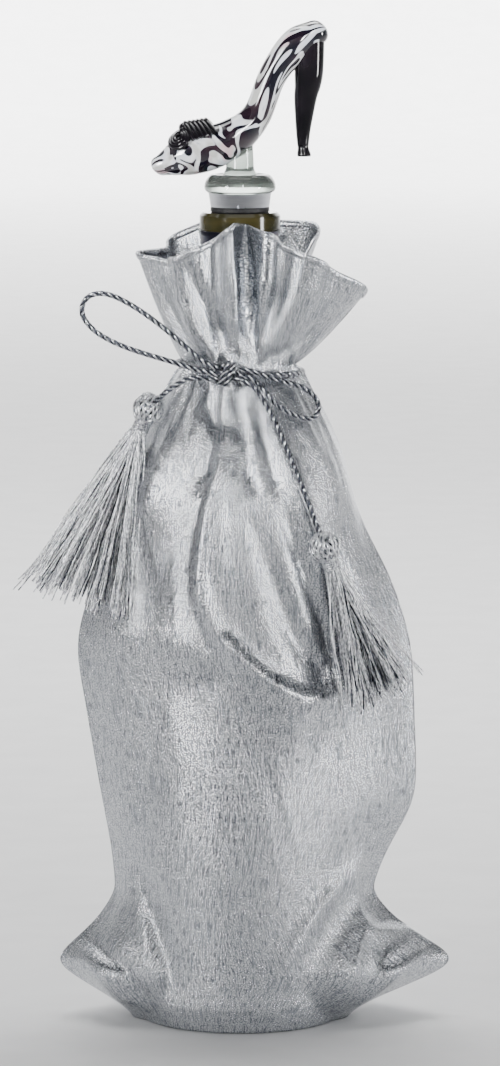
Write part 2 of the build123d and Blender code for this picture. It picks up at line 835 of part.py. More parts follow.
def make_vamp_bow(shoe):
    """The bow: its bead, and a loop and a pleated wing on each side of it."""
    with BuildPart() as bow:
        with Locations(bow_middle):
            Sphere(bow_bead_radius)
        for side in (-1, 1):
            add(make_bow_loop(side))
            add(make_bow_wing(side))
        add(shoe, mode=Mode.SUBTRACT)
        keep = bow.solids().sort_by(SortBy.VOLUME)[-1]
    return Part(keep.wrapped)


# ---------------------------------------------------------------- build and write every piece
save(make_bottle(Keep.BOTTOM), "bottle_body")
save(make_bottle(Keep.TOP), "bottle_neck")
save(make_capsule(), "capsule")

panels = [make_panel(-1, front_edge, front_folds), make_panel(1, back_edge, back_folds)]
save(panels[0], "bag_front_panel")
save(panels[1], "bag_back_panel")
save(make_hem(-1, front_edge), "bag_front_hem")
save(make_hem(1, back_edge), "bag_back_hem")
save(make_seam(-1, panels), "left_seam_allowance")
save(make_seam(1, panels), "right_seam_allowance")

neck_tie = make_tie()
save(neck_tie, "neck_tie")
save(make_knot(neck_tie), "bow_knot")
save(make_cord("left_bow_loop", left_loop_route), "left_bow_loop")
save(make_cord("right_bow_loop", right_loop_route), "right_bow_loop")
save(make_cord("left_cord_tail", laid(left_tail_route, left_tail_past)), "left_cord_tail")
save(make_cord("right_cord_tail", laid(right_tail_route, right_tail_past)), "right_cord_tail")

for word, tassel in (("left", left_tassel), ("right", right_tassel)):
    at = [round(value, 2) for value in (*tassel.head, *tassel.down, *tassel.across)]
    print(f"{word} tassel: head {at[:3]}, down {at[3:6]}, across {at[6:]}, {tassel.length:.1f} mm")
    save(make_head(tassel), f"{word}_tassel_head")
    save(make_binding(tassel), f"{word}_tassel_binding")
    save(make_skirt(tassel), f"{word}_tassel_skirt")

save(make_plug(), "stopper_plug")
save(make_gasket(), "stopper_gasket")
save(make_rings(), "stopper_seal_rings")
shoe_body = make_shoe()
save(shoe_body, "shoe_body")
save(make_heel(shoe_body), "shoe_heel")
save(make_heel_tip(), "shoe_heel_tip")
save(make_glass_foot(shoe_body), "glass_foot")
save(make_vamp_bow(shoe_body), "vamp_bow")
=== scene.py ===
"""A silver cloth gift bag gathered round a wine bottle, with a tasselled cord and a glass stopper.

The tables hold millimetres in the frame's own axes: +X right, +Y back, +Z up from the floor
under the bottle. Every mesh is made in metres, in its place.
"""

from math import acos, cos, pi, radians, sin, sqrt

import bmesh
import bpy
import numpy as np
from mathutils import Matrix, Vector, noise


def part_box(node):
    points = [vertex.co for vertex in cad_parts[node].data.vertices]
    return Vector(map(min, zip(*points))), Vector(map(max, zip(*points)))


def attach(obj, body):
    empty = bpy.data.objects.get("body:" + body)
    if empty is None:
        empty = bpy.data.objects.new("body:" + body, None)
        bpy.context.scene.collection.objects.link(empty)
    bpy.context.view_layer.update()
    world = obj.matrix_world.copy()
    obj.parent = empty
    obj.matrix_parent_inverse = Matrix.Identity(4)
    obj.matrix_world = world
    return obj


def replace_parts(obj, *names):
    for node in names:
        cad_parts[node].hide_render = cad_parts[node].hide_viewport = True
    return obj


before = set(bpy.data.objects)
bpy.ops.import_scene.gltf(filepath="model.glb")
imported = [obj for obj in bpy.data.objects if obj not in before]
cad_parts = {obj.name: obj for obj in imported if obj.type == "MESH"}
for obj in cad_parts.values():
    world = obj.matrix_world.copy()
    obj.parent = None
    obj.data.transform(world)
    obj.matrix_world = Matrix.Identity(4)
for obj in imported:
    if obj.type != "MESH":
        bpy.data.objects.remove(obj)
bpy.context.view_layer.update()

MM = 0.001


def middle(node):
    """The middle of a CAD node's box, in millimetres."""
    low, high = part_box(node)
    return np.array((low + high) / 2) / MM


TIE = middle("neck_tie")[2]  # the cord's level round the bag's neck
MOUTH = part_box("bottle_neck")[1].z / MM  # the top of the bottle's lip


# ------------------------ shader arithmetic
class Wire:
    """One output of a material's graph, with arithmetic on it."""

    def __init__(self, finish, socket):
        self.finish = finish
        self.socket = socket

    def math(self, operation, first, second):
        return self.finish.node("ShaderNodeMath", {"operation": operation}, {0: first, 1: second})

    def __add__(self, other):
        return self.math("ADD", self, other)

    def __sub__(self, other):
        return self.math("SUBTRACT", self, other)

    def __rsub__(self, other):
        return self.math("SUBTRACT", other, self)

    def __mul__(self, other):
        return self.math("MULTIPLY", self, other)

    def sine(self):
        return self.math("SINE", self, 0.0)

    __radd__ = __add__
    __rmul__ = __mul__


class Finish:
    """A material built round one Principled shader."""

    def __init__(self, name, **constants):
        self.material = bpy.data.materials.new(name)
        self.material.use_nodes = True
        self.tree = self.material.node_tree
        self.shader = self.tree.nodes["Principled BSDF"]
        self.feed(self.shader, constants)

    def feed(self, node, values):
        for socket, value in values.items():
            at = socket.replace("_", " ") if isinstance(socket, str) else socket
            if isinstance(value, Wire):
                self.tree.links.new(value.socket, node.inputs[at])
            else:
                node.inputs[at].default_value = value

    def node(self, kind, settings=None, values=None, output=0):
        """Any node: its settings first, with a ramp's stops among them, then its sockets."""
        node = self.tree.nodes.new(kind)
        for setting, value in (settings or {}).items():
            if setting == "stops":
                elements = node.color_ramp.elements
                while len(elements) < len(value):
                    elements.new(0.5)
                for element, (place, colour) in zip(elements, value):
                    element.position = place
                    shade = colour if hasattr(colour, "__len__") else (colour,) * 3
                    element.color = (*shade, 1)
            else:
                setattr(node, setting, value)
        self.feed(node, values or {})
        return Wire(self, node.outputs[output])

    def place(self, scale, kind="Object"):
        """Where a point is on the piece, scaled: its own coordinates, or the cloth's with "UV"."""
        at = self.node("ShaderNodeTexCoord", output=kind)
        return self.node("ShaderNodeMapping", {}, {"Vector": at, "Scale": scale})

    def noise(self, at, scale=1.0, detail=2.0, roughness=0.5, distortion=0.0):
        values = {"Vector": at, "Scale": scale, "Detail": detail}
        values |= {"Roughness": roughness, "Distortion": distortion}
        return self.node("ShaderNodeTexNoise", {}, values)

    def ramp(self, factor, *stops):
        return self.node("ShaderNodeValToRGB", {"stops": stops}, {"Fac": factor})

    def mix(self, factor, first, second):
        settings = {"data_type": "RGBA"}
        return self.node("ShaderNodeMix", settings, {0: factor, 6: first, 7: second}, output=2)

    def bump(self, height, distance, strength, under=None):
        values = {"Height": height, "Distance": distance, "Strength": strength}
        if under:
            values["Normal"] = under
        return self.node("ShaderNodeBump", {}, values)

    def done(self, **sockets):
        self.feed(self.shader, sockets)
        return self.material


def lame_cloth():
    """Foil-faced cloth: a sparkling grain with broken upright threads over it."""
    f = Finish("silver lame cloth", Metallic=0.96)
    grain = f.noise(f.place((2100, 1700, 1), "UV"), detail=1.0, roughness=0.6)
    threads = f.noise(f.place((2300, 230, 1), "UV"), detail=2.0, roughness=0.6)
    slubs = f.noise(f.place((1500, 70, 1), "UV"), detail=2.0, roughness=0.5)
    clouds = f.noise(f.place((16, 10, 1), "UV"), detail=3.0)
    line = f.ramp(slubs, (0.55, 0.0), (0.63, 1.0))
    dash = f.ramp(threads, (0.38, 1.0), (0.47, 0.0))
    # the stitch line of the hem, by metres up the panel as it was cut
    hem = f.node("ShaderNodeSeparateXYZ", {}, {"Vector": f.place((1, 1, 1), "UV")}, output=1)
    hem_stitch = f.ramp(hem, (0.3496, 0.0), (0.3503, 1.0), (0.3507, 1.0), (0.3514, 0.0))
    tone = f.ramp(
        grain, (0.37, (0.20, 0.21, 0.23)), (0.50, (0.60, 0.61, 0.64)), (0.61, (0.95, 0.96, 0.98))
    )
    tone = f.mix(dash * 0.8, tone, (0.09, 0.10, 0.12, 1))
    tone = f.mix(line * 0.65, tone, (0.22, 0.24, 0.27, 1))
    tone = f.mix(clouds * 0.15, tone, (0.60, 0.67, 0.76, 1))
    first = f.bump(grain, 0.00022, 0.9)
    second = f.bump(threads, 0.00016, 0.7, first)
    return f.done(
        Base_Color=tone,
        Roughness=grain * 0.12 + 0.19,
        Normal=f.bump(1.0 - hem_stitch, 0.0004, 1.0, f.bump(slubs, 0.00022, 0.5, second)),
    )


def spun_thread(name, dark, light, roughness):
    """Metallic thread, its colour broken up along each strand."""
    f = Finish(name, Metallic=0.88, Roughness=roughness)
    glints = f.noise(f.place((1500, 1500, 700)), detail=2.0, roughness=0.6)
    tone = f.ramp(glints, (0.36, dark), (0.64, light))
    return f.done(Base_Color=tone, Normal=f.bump(glints, 0.0001, 0.6))


def marbled_glass():
    """Opal glass with near-black swirls, loops round the forepart and long lines up the arch."""
    f = Finish("marbled opal glass", Roughness=0.06, Coat_Weight=1.0, Coat_Roughness=0.03)
    at = f.place((1, 1, 1), "UV")
    swirl = f.noise(at, 0.9, 1.0, 0.4, 1.1)
    bands = (swirl * 29.0).sine()
    level = bands * 0.5 + 0.5
    dark_edge = f.ramp(level, (0.50, 0.0), (0.56, 1.0))
    halo = f.ramp(level, (0.30, 0.0), (0.50, 1.0))
    tint = f.noise(at, 1.3, 2.0)
    opal = f.ramp(
        tint, (0.36, (0.78, 0.82, 0.90)), (0.50, (0.88, 0.89, 0.91)), (0.62, (0.56, 0.56, 0.54))
    )
    opal = f.mix(halo * 0.55, opal, (0.50, 0.53, 0.60, 1))
    blush = f.ramp(f.noise(at, 1.1, 1.0, 0.5, 0.4), (0.60, 0.0), (0.68, 1.0))
    opal = f.mix(blush * 0.6, opal, (0.62, 0.34, 0.38, 1))
    dark = f.ramp(tint, (0.42, (0.004, 0.004, 0.010)), (0.62, (0.022, 0.009, 0.016)))
    return f.done(Base_Color=f.mix(dark_edge, opal, dark))


def black_glass():
    f = Finish("black glass", Roughness=0.08, Specular_IOR_Level=0.38)
    cloud = f.noise(f.place((90, 90, 90)))
    tone = f.ramp(cloud, (0.3, (0.003, 0.003, 0.004)), (0.7, (0.013, 0.010, 0.014)))
    return f.done(Base_Color=tone)


def clear_glass():
    f = Finish("clear greenish glass", Roughness=0.03, IOR=1.45, Transmission_Weight=0.9)
    cloud = f.noise(f.place((120, 120, 120)))
    tone = f.ramp(cloud, (0.3, (0.62, 0.72, 0.64)), (0.7, (0.80, 0.87, 0.81)))
    return f.done(Base_Color=tone, Normal=f.bump(cloud, 0.0006, 0.25))


def bottle_glass():
    f = Finish("dark green bottle glass", Roughness=0.12, Specular_IOR_Level=0.3)
    cloud = f.noise(f.place((60, 60, 240)))
    tone = f.ramp(cloud, (0.3, (0.010, 0.012, 0.006)), (0.7, (0.05, 0.042, 0.014)))
    return f.done(Base_Color=tone, Normal=f.bump(cloud, 0.0004, 0.2))


def capsule_foil():
    f = Finish("dark capsule foil", Metallic=0.7, Roughness=0.35)
    dents = f.noise(f.place((260, 260, 120)), detail=3.0)
    tone = f.ramp(dents, (0.35, (0.012, 0.012, 0.022)), (0.7, (0.05, 0.05, 0.075)))
    return f.done(Base_Color=tone, Normal=f.bump(dents, 0.0004, 0.5))


def polished_chrome():
    f = Finish("polished chrome", Metallic=1.0)
    smear = f.noise(f.place((90, 90, 700)), detail=3.0)
    tone = f.ramp(smear, (0.3, (0.58, 0.59, 0.63)), (0.7, (0.72, 0.73, 0.76)))
    return f.done(Base_Color=tone, Roughness=smear * 0.1 + 0.03)


def soft_rubber(name, low, high):
    f = Finish(name, Specular_IOR_Level=0.3)
    dust = f.noise(f.place((700, 700, 700)), detail=4.0, roughness=0.7)
    tone = f.ramp(dust, (0.35, low), (0.75, high))
    return f.done(Base_Color=tone, Roughness=dust * 0.3 + 0.38, Normal=f.bump(dust, 0.0001, 0.4))


# ------------------------ making pieces
def put(name, data):
    """A new object in the scene."""
    thing = bpy.data.objects.new(name, data)
    bpy.context.scene.collection.objects.link(thing)
    return thing


def meshed(curve):
    """The mesh that a curve evaluates to."""
    holder = put(curve.name, curve)
    mesh = bpy.data.meshes.new_from_object(holder)
    bpy.data.objects.remove(holder)
    return mesh


def as_piece(name, mesh, body, slot, *materials):
    """A finished mesh as a piece that moves with a body."""
    for material in materials:
        mesh.materials.append(material)
    mesh.polygons.foreach_set("use_smooth", [True] * len(mesh.polygons))
    piece = put(name, mesh)
    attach(piece, body)
    return piece


def shaped(bm, name):
    """A mesh from bmesh work, its doubles merged and its faces turned outwards."""
    bmesh.ops.remove_doubles(bm, verts=bm.verts, dist=1e-6)
    bmesh.ops.recalc_face_normals(bm, faces=bm.faces)
    mesh = bpy.data.meshes.new(name)
    bm.to_mesh(mesh)
    bm.free()
    return mesh


def round_lines(name, lines, radius, sides, materials, choose=None):
    """Thin round threads along lines in metres; choose gives each one's material."""
    curve = bpy.data.curves.new(name, "CURVE")
    curve.dimensions = "3D"
    curve.bevel_depth = radius
    curve.bevel_resolution = sides // 2 - 2
    curve.use_fill_caps = True
    for material in materials:
        curve.materials.append(material)
    for index, line in enumerate(lines):
        spline = curve.splines.new("POLY")
        spline.points.add(len(line) - 1)
        flat = np.column_stack([line, np.ones(len(line))]).ravel()
        spline.points.foreach_set("co", flat)
        spline.material_index = choose[index] if choose else 0
    return meshed(curve)


def smooth_line(route):
    """The smooth line that a route's points control, read from the evaluated spline."""
    curve = bpy.data.curves.new("route", "CURVE")
    curve.dimensions = "3D"
    curve.resolution_u = 32
    spline = curve.splines.new("NURBS")
    spline.points.add(len(route) - 1)
    for point, place in zip(spline.points, route):
        point.co = (*place, 1)
    spline.order_u = 3
    spline.use_endpoint_u = True
    return np.array([vertex.co for vertex in meshed(curve).vertices])


def run_along(points):
    return np.concatenate([[0], np.cumsum(np.linalg.norm(np.diff(points, axis=0), axis=1))])


def evenly(points, step):
    """The same line, with its points a step apart."""
    run = run_along(points)
    at = np.linspace(0, run[-1], max(2, round(run[-1] / step) + 1))
    return np.column_stack([np.interp(at, run, points[:, axis]) for axis in range(3)])


def sides_of(points):
    """Two directions square to a line at each of its points, carried along without twist."""
    tangents = np.gradient(points, axis=0)
    tangents /= np.linalg.norm(tangents, axis=1)[:, None]
    side = np.cross(tangents[0], (0.13, 0.31, 0.94))
    sides = []
    for tangent in tangents:
        side = side - tangent * side.dot(tangent)
        side /= np.linalg.norm(side)
        sides.append(side)
    return np.array(sides), np.cross(tangents, sides)


STRANDS = 4  # two bright and two dark, in turn
CORD_RADIUS = 0.9 * MM
CORD_LAY = 6.4 * MM  # the length of one strand's turn
CORD_STEP = 0.45 * MM  # between the points of a strand
STRAND_PLACE = 0.6  # from the cord's middle to a strand's, as a share of the cord's radius
STRAND_RADIUS = 0.54  # as a share of the cord's radius


def twisted_cord(name, points):
    """A cord of four strands laid round each other along a line."""
    points = evenly(points, CORD_STEP)
    one, two = sides_of(points)
    turn = 2 * pi * run_along(points) / CORD_LAY
    lines = []
    for strand in range(STRANDS):
        angle = turn + 2 * pi * strand / STRANDS
        around = np.cos(angle)[:, None] * one + np.sin(angle)[:, None] * two
        lines.append(points + STRAND_PLACE * CORD_RADIUS * around)
    shades = [strand % 2 for strand in range(STRANDS)]
    threads = (SILVER_THREAD, GREY_THREAD)
    mesh = round_lines(name, lines, STRAND_RADIUS * CORD_RADIUS, 8, threads, shades)
    return as_piece(name, mesh, "bagged_bottle", "cord")


# ------------------------ camera and studio
def look_at(thing, target):
    thing.rotation_euler = (Vector(target) - thing.location).to_track_quat("-Z", "Y").to_euler()


CAMERA_PLACE = Vector((0.0037, -2.1, 0.452))
CAMERA_TARGET = Vector((0.0037, 0.0, 0.1815))
SEEN_HEIGHT = 0.3955  # how much the frame's height shows at the bottle's axis, in metres
SENSOR_HEIGHT = 24.0


def add_camera():
    lens = bpy.data.cameras.new("camera")
    lens.sensor_fit = "VERTICAL"
    lens.sensor_height = SENSOR_HEIGHT
    lens.lens = SENSOR_HEIGHT * (CAMERA_PLACE - CAMERA_TARGET).length / SEEN_HEIGHT
    lens.clip_start, lens.clip_end = 0.05, 50
    camera = put("camera", lens)
    camera.location = CAMERA_PLACE
    look_at(camera, CAMERA_TARGET)
    bpy.context.scene.camera = camera


def add_soft_light(name, place, target, size, power, spread):
    """A soft panel; spread is how widely its light fans out, in degrees."""
    panel = bpy.data.lights.new(name, "AREA")
    panel.shape = "RECTANGLE"
    panel.size, panel.size_y = size
    panel.spread = radians(spread)
    panel.energy = power
    light = put(name, panel)
    light.location = place
    look_at(light, target)


# The studio's paper, outwards from the middle and up: the distance and the height, in metres.
STUDIO_PROFILE = [
    (0, 0), (4.6, 0), (4.7, 0), (5.1, 0.05), (5.5, 0.2), (5.8, 0.5), (6.0, 1.0), (6.0, 4.2),
]
# Each light's place, target and size in metres, its power in watts and its spread in degrees.
LIGHTS = {
    "key": ((-0.95, -1.0, 0.75), (0, 0, 0.60), (0.30, 0.9), 1.9, 32),
    "fill": ((1.25, -0.55, 0.5), (0, 0, 0.60), (0.22, 0.9), 1.2, 32),
    "strip": ((0.25, -1.5, 0.95), (0, 0, 0.55), (0.10, 0.8), 0.6, 32),
    "overhead": ((0.0, 0.15, 1.5), (0, 0, 0.18), (1.0, 1.0), 5, 180),
    "floor wash": ((0.0, 0.9, 2.0), (0, 0.9, 0), (3.0, 1.0), 26, 84),
    "far floor": ((0.0, 4.1, 3.5), (0, 4.3, 0), (5.7, 2.85), 190, 90),
    "wall": ((0.0, 3.8, 3.5), (0, 6.0, 1.1), (5.7, 1.9), 325, 80),
}


def add_studio():
    """A round pale floor that turns up into a wall all round, and the lights over it."""
    f = Finish("pale studio paper", Roughness=0.85)
    mottle = f.noise(f.place((40, 40, 40)))
    paper = f.done(Base_Color=f.ramp(mottle, (0.3, 0.74), (0.7, 0.78)))
    bm = bmesh.new()
    verts = [bm.verts.new((0, y, z)) for y, z in STUDIO_PROFILE]
    edges = [bm.edges.new(pair) for pair in zip(verts, verts[1:])]
    turn = {"axis": (0, 0, 1), "cent": (0, 0, 0), "angle": 2 * pi, "steps": 96, "use_merge": True}
    bmesh.ops.spin(bm, geom=verts + edges, **turn)
    mesh = shaped(bm, "studio_floor")
    mesh.materials.append(paper)
    mesh.polygons.foreach_set("use_smooth", [True] * len(mesh.polygons))
    put("studio_floor", mesh)

    world = bpy.data.worlds.new("studio")
    bpy.context.scene.world = world
    world.use_nodes = True
    sky = world.node_tree.nodes["Background"].inputs
    sky["Color"].default_value = (0.74, 0.82, 0.92, 1)
    sky["Strength"].default_value = 0.07
    for name, light in LIGHTS.items():
        add_soft_light(name, *light)


add_camera()
add_studio()

# ------------------------ the finishes
CLOTH = lame_cloth()
SILVER_THREAD = spun_thread("silver thread", (0.05, 0.055, 0.07), (0.74, 0.76, 0.79), 0.24)
BRIGHT_THREAD = spun_thread("bright tassel thread", (0.26, 0.27, 0.30), (0.96, 0.96, 0.98), 0.28)
GREY_THREAD = spun_thread("grey thread", (0.006, 0.007, 0.010), (0.10, 0.105, 0.13), 0.32)
MARBLED = marbled_glass()
BLACK = black_glass()
CLEAR = clear_glass()
CHROME = polished_chrome()
RUBBER = soft_rubber("black rubber", (0.008, 0.008, 0.009), (0.03, 0.03, 0.032))
SEAL = soft_rubber("pale soft seal", (0.55, 0.57, 0.58), (0.75, 0.77, 0.78))
KEPT_NODES = {
    "bottle_body": bottle_glass(),
    "bottle_neck": bottle_glass(),
    "capsule": capsule_foil(),
    "stopper_plug": CHROME,
    "stopper_gasket": RUBBER,
    "stopper_seal_rings": SEAL,
    "glass_foot": CLEAR,
}
for node, material in KEPT_NODES.items():
    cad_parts[node].data.materials.clear()
    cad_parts[node].data.materials.append(material)


# ------------------------ the cord, its bow and its knot
def from_tie(*points):
    """A cord's points, their heights counted from the cord's level round the neck, in metres."""
    return [(x * MM, y * MM, (TIE + z) * MM) for x, y, z in points]


LEFT_LOOP = from_tie(
    (-8.0, -28.2, 2.8), (-11.5, -28.2, 3.6), (-18.5, -27.2, 9.4), (-28.5, -26.0, 18.0),
    (-39.5, -25.0, 25.8), (-49.0, -24.0, 30.2), (-56.0, -23.0, 28.9), (-58.5, -22.5, 22.6),
    (-54.0, -22.8, 16.2), (-46.0, -23.8, 11.6), (-36.5, -25.0, 8.2), (-25.5, -26.6, 5.2),
    (-14.5, -28.2, 1.8), (-8.0, -28.2, 0.4),
)
RIGHT_LOOP = from_tie(
    (0.0, -28.6, 2.1), (4.0, -28.6, 2.1), (11.0, -28.6, -0.8), (18.5, -26.8, -2.8),
    (25.0, -23.8, -5.5), (29.5, -21.2, -11.0), (27.5, -24.0, -16.8), (21.0, -27.6, -15.2),
    (13.0, -30.8, -10.5), (8.0, -31.0, -4.0), (4.2, -28.8, -0.1), (0.0, -28.8, -0.1),
)
LEFT_TAIL = from_tie(
    (-8.0, -26.6, -1.6), (-12.5, -26.6, -1.0), (-18.5, -26.8, -0.8), (-24.5, -24.4, -4.4),
    (-28.6, -20.0, -8.0), (-31.3, -15.4, -11.0),
)
RIGHT_TAIL = from_tie(
    (0.0, -28.2, -2.3), (4.0, -28.2, -2.3), (8.5, -29.6, -8.5), (13.5, -31.8, -17.5),
    (18.5, -34.4, -29.0), (22.8, -36.4, -40.0), (26.5, -35.6, -50.0), (29.0, -34.2, -57.0),
)


def add_free_cord(node, route):
    line = smooth_line(route)
    piece = twisted_cord(f"twisted_{node}", line)
    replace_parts(piece, node)


def add_neck_turn():
    """The cord's turn round the gathers."""
    angle = np.linspace(radians(-94), radians(254), 240)
    radius, rise, tilt = 23.2, 0.4, 1.6
    height = TIE + rise - tilt * np.cos(angle)
    ring = np.column_stack([radius * np.cos(angle), radius * np.sin(angle), height])
    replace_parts(twisted_cord("cord_round_the_neck", ring * MM), "neck_tie")


KNOT_ENDS = np.array([(-12.0, -26.8, 3.4), (3.6, -27.6, -2.6)])
KNOT_TWIST = 0.9  # of a turn, over its length
KNOT_SWELL = 1.6  # how far its lengths of cord stand off its middle
# The turns over it: the place along X, the lean, the depth and height of each, and its rise.
KNOT_TURNS = [(-5.6, -1.5, 3.1, 3.7, 1.0), (-3.6, -1.7, 3.1, 3.7, 0.3)]


def add_knot():
    """The knot: three lengths of the cord twisting past each other, and two turns over them."""
    along = np.linspace(0, 1, 90)
    for strand in range(3):
        middle_line = KNOT_ENDS[0] + (KNOT_ENDS[1] - KNOT_ENDS[0]) * along[:, None]
        turn = 2 * pi * (KNOT_TWIST * along + strand / 3)
        swell = KNOT_SWELL * np.sin(pi * np.clip(along, 0.04, 0.96)) ** 0.5
        sway = (0.3 * swell, -swell * np.cos(turn), TIE + swell * np.sin(turn))
        line = middle_line + np.column_stack(sway)
        piece = twisted_cord(f"knot_strand_{strand + 1}", line * MM)
        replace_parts(piece, "bow_knot")
    turn = np.linspace(0, 2 * pi, 60)
    for index, (x, lean, depth, height, rise) in enumerate(KNOT_TURNS):
        ring = np.column_stack([
            x - lean * np.sin(turn),
            KNOT_ENDS[:, 1].mean() + depth * np.cos(turn),
            TIE + rise + height * np.sin(turn),
        ])
        piece = twisted_cord(f"knot_turn_{index + 1}", ring * MM)
        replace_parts(piece, "bow_knot")


add_free_cord("left_bow_loop", LEFT_LOOP)
add_free_cord("right_bow_loop", RIGHT_LOOP)
add_free_cord("left_cord_tail", LEFT_TAIL)
add_free_cord("right_cord_tail", RIGHT_TAIL)
add_neck_turn()
add_knot()


# ------------------------ the tassels
class Tassel:
    """A tassel's own axes: across its fan, out of the fan, and down its length."""

    def __init__(self, side, end, spread, fan, thickness, seed):
        self.side = side
        self.head = middle(f"{side}_tassel_head")
        down = np.array(end) - self.head
        self.length = np.linalg.norm(down)
        down /= self.length
        across = np.array(spread) - down * down.dot(spread)
        across /= np.linalg.norm(across)
        self.axes = np.stack([across, np.cross(down, across), down])
        self.fan = fan
        self.thickness = thickness
        self.chance = np.random.default_rng(seed)

    def place(self, points):
        return (self.head + np.asarray(points) @ self.axes) * MM


HEAD = 5.6  # the radius of a tassel's head
LEFT_TASSEL = Tassel("left", (-61.0, -14.0, TIE - 86.0), (0.86, -0.5, 0.0), 21.0, 4.2, 11)
RIGHT_TASSEL = Tassel("right", (52.5, -27.0, TIE - 119.0), (0.8, 0.6, 0.0), 15.0, 3.6, 23)


# The net's two threads: the turns round the head, the swings up and down, the swings' start and
# how far out each lies.
NET_THREADS = ((9, 16, 0.0, HEAD - 0.5), (7, 11, 1.3, HEAD - 0.8))


def add_head(tassel):
    """A ball under a close net of thread that weaves over and under itself."""
    body, side = f"{tassel.side}_tassel", tassel.side
    lines = []
    for turns, weaves, start, reach in NET_THREADS:
        angle = np.linspace(0, 2 * pi * turns, 1500)
        swing = weaves * angle / turns + start
        tilt = 1.3 * np.sin(swing)
        out = reach + 0.3 * np.sin(2.6 * swing + 0.6)
        lines.append(tassel.place(np.column_stack([
            out * np.cos(tilt) * np.cos(angle),
            out * np.cos(tilt) * np.sin(angle),
            1.06 * out * np.sin(tilt),
        ])))
    mesh = round_lines("net", lines, 0.46 * MM, 6, (BRIGHT_THREAD, SILVER_THREAD), (0, 1))
    woven = as_piece(f"{side}_tassel_net", mesh, body, "cord")
    bm = bmesh.new()
    bmesh.ops.create_icosphere(bm, subdivisions=3, radius=(HEAD - 1.1) * MM)
    bmesh.ops.translate(bm, verts=bm.verts, vec=Vector(tassel.head * MM))
    core = as_piece(f"{side}_tassel_core", shaped(bm, "core"), body, "cord", GREY_THREAD)
    for piece in (woven, core):
        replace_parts(piece, f"{side}_tassel_head")


BINDING_TURNS, BINDING_RADIUS, BINDING_LENGTH = 7, 2.9, 5.6


def add_binding(tassel):
    """Thread wound tight round the skirt's top."""
    angle = np.linspace(0, 2 * pi * BINDING_TURNS, 300)
    along = HEAD - 2.2 + BINDING_LENGTH * angle / angle[-1]
    ring = BINDING_RADIUS * np.cos(angle), BINDING_RADIUS * np.sin(angle)
    wound = np.column_stack([*ring, along])
    mesh = round_lines("binding", [tassel.place(wound)], 0.42 * MM, 8, (BRIGHT_THREAD,))
    piece = as_piece(f"{tassel.side}_tassel_winding", mesh, f"{tassel.side}_tassel", "cord")
    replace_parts(piece, f"{tassel.side}_tassel_binding")


THREADS = 440  # in one skirt
LOCKS = 44  # the tufts that its threads cling together in
STRAY_EVERY = 55  # one thread in so many stands out of its lock
THREAD_STEPS = 16
THREAD_RADIUS = 0.23 * MM


def add_skirt(tassel):
    """Crinkled threads in clinging locks that fan out to a ragged end, with a few strays."""
    chance, share = tassel.chance, np.linspace(0, 1, THREAD_STEPS)
    root = HEAD + 0.5
    locks = chance.uniform(-1, 1, (LOCKS, 4))
    lines, shades = [], []
    for index in range(THREADS):
        across, out, reach, wave = locks[index % LOCKS]
        stray = index % STRAY_EVERY == 0
        angle, ring = chance.uniform(0, 2 * pi), 2.5 * sqrt(chance.uniform(0, 1))
        fanned = 1.25 * np.sign(across) if stray else across * 0.96 + chance.normal(0, 0.05)
        across = tassel.fan * fanned
        out = (tassel.thickness + 0.8) * np.clip(out + chance.normal(0, 0.25), -1, 1)
        reach = tassel.length * (0.95 + 0.05 * reach + chance.uniform(-0.05, 0.04) + 0.05 * stray)
        opening = share ** (1.05 + 0.25 * wave + chance.uniform(-0.08, 0.08))
        crinkle = chance.uniform(0.1, 0.55) * np.sin(
            share * chance.uniform(9, 30) + chance.uniform(0, 6)
        )
        sway = (1.2 * wave + chance.uniform(-0.5, 0.5)) * np.sin(pi * share * 1.3)
        right, ahead = ring * cos(angle), ring * sin(angle)
        lines.append(tassel.place(np.column_stack([
            right + (across - right) * opening + (crinkle + sway) * share**0.5,
            ahead + (out - ahead) * opening + 0.6 * crinkle,
            root + (reach - root) * share,
        ])))
        shades.append(int(chance.uniform(0, 1) < 0.15 + 0.12 * wave))
    mesh = round_lines("skirt", lines, THREAD_RADIUS, 4, (BRIGHT_THREAD, GREY_THREAD), shades)
    name, body = f"{tassel.side}_tassel_threads", f"{tassel.side}_tassel"
    piece = as_piece(name, mesh, body, "tassel_thread")
    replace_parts(piece, f"{tassel.side}_tassel_skirt")


for tassel in (LEFT_TASSEL, RIGHT_TASSEL):
    add_head(tassel)
    add_binding(tassel)
    add_skirt(tassel)

# ------------------------ the bag
PANEL = (0.152, 0.356)  # each panel as it was cut, in metres
ACROSS = 201  # points over a panel's width
BODY_ROWS = 170
CORNER_ROWS = 75  # of them, up to CORNER_TOP
FRILL_ROWS = 44
BAND = 1.5  # half the height of the drawn-in band under the cord
FRILL_HEIGHT = 55.5
STAND_OFF = 0.8  # the least that the cloth's face stands off the glass
# The bottle's outline: heights, and its radius at each.
GLASS_OUTLINE = (
    [0, 6, 193, 198, 204, 211, 218, 224, 229, 300],
    [31.5, 37.5, 37.5, 36.8, 34, 26, 17.6, 14.7, 14, 14],
)

# Up the bag: the height, how far the left and the right seam stand out, and the wrap's radius.
LEVELS = np.array([
    (0.0, 38.5, 38.5, 36.9), (5.9, 48.5, 51.0, 38.9), (20.0, 71.0, 83.5, 39.3),
    (35.6, 53.9, 58.5, 39.8), (47.5, 45.9, 48.4, 40.2), (63.4, 47.9, 54.9, 40.4),
    (81.2, 51.4, 66.2, 40.4), (140.6, 61.6, 64.0, 40.8), (166.3, 53.9, 55.9, 41.2),
    (182.2, 49.4, 46.6, 41.0), (198.0, 44.9, 40.8, 39.8), (212.0, 40.6, 38.4, 35.6),
    (225.0, 35.4, 32.9, 29.8), (235.0, 27.8, 26.8, 24.8), (241.5, 22.4, 22.4, 22.2),
])
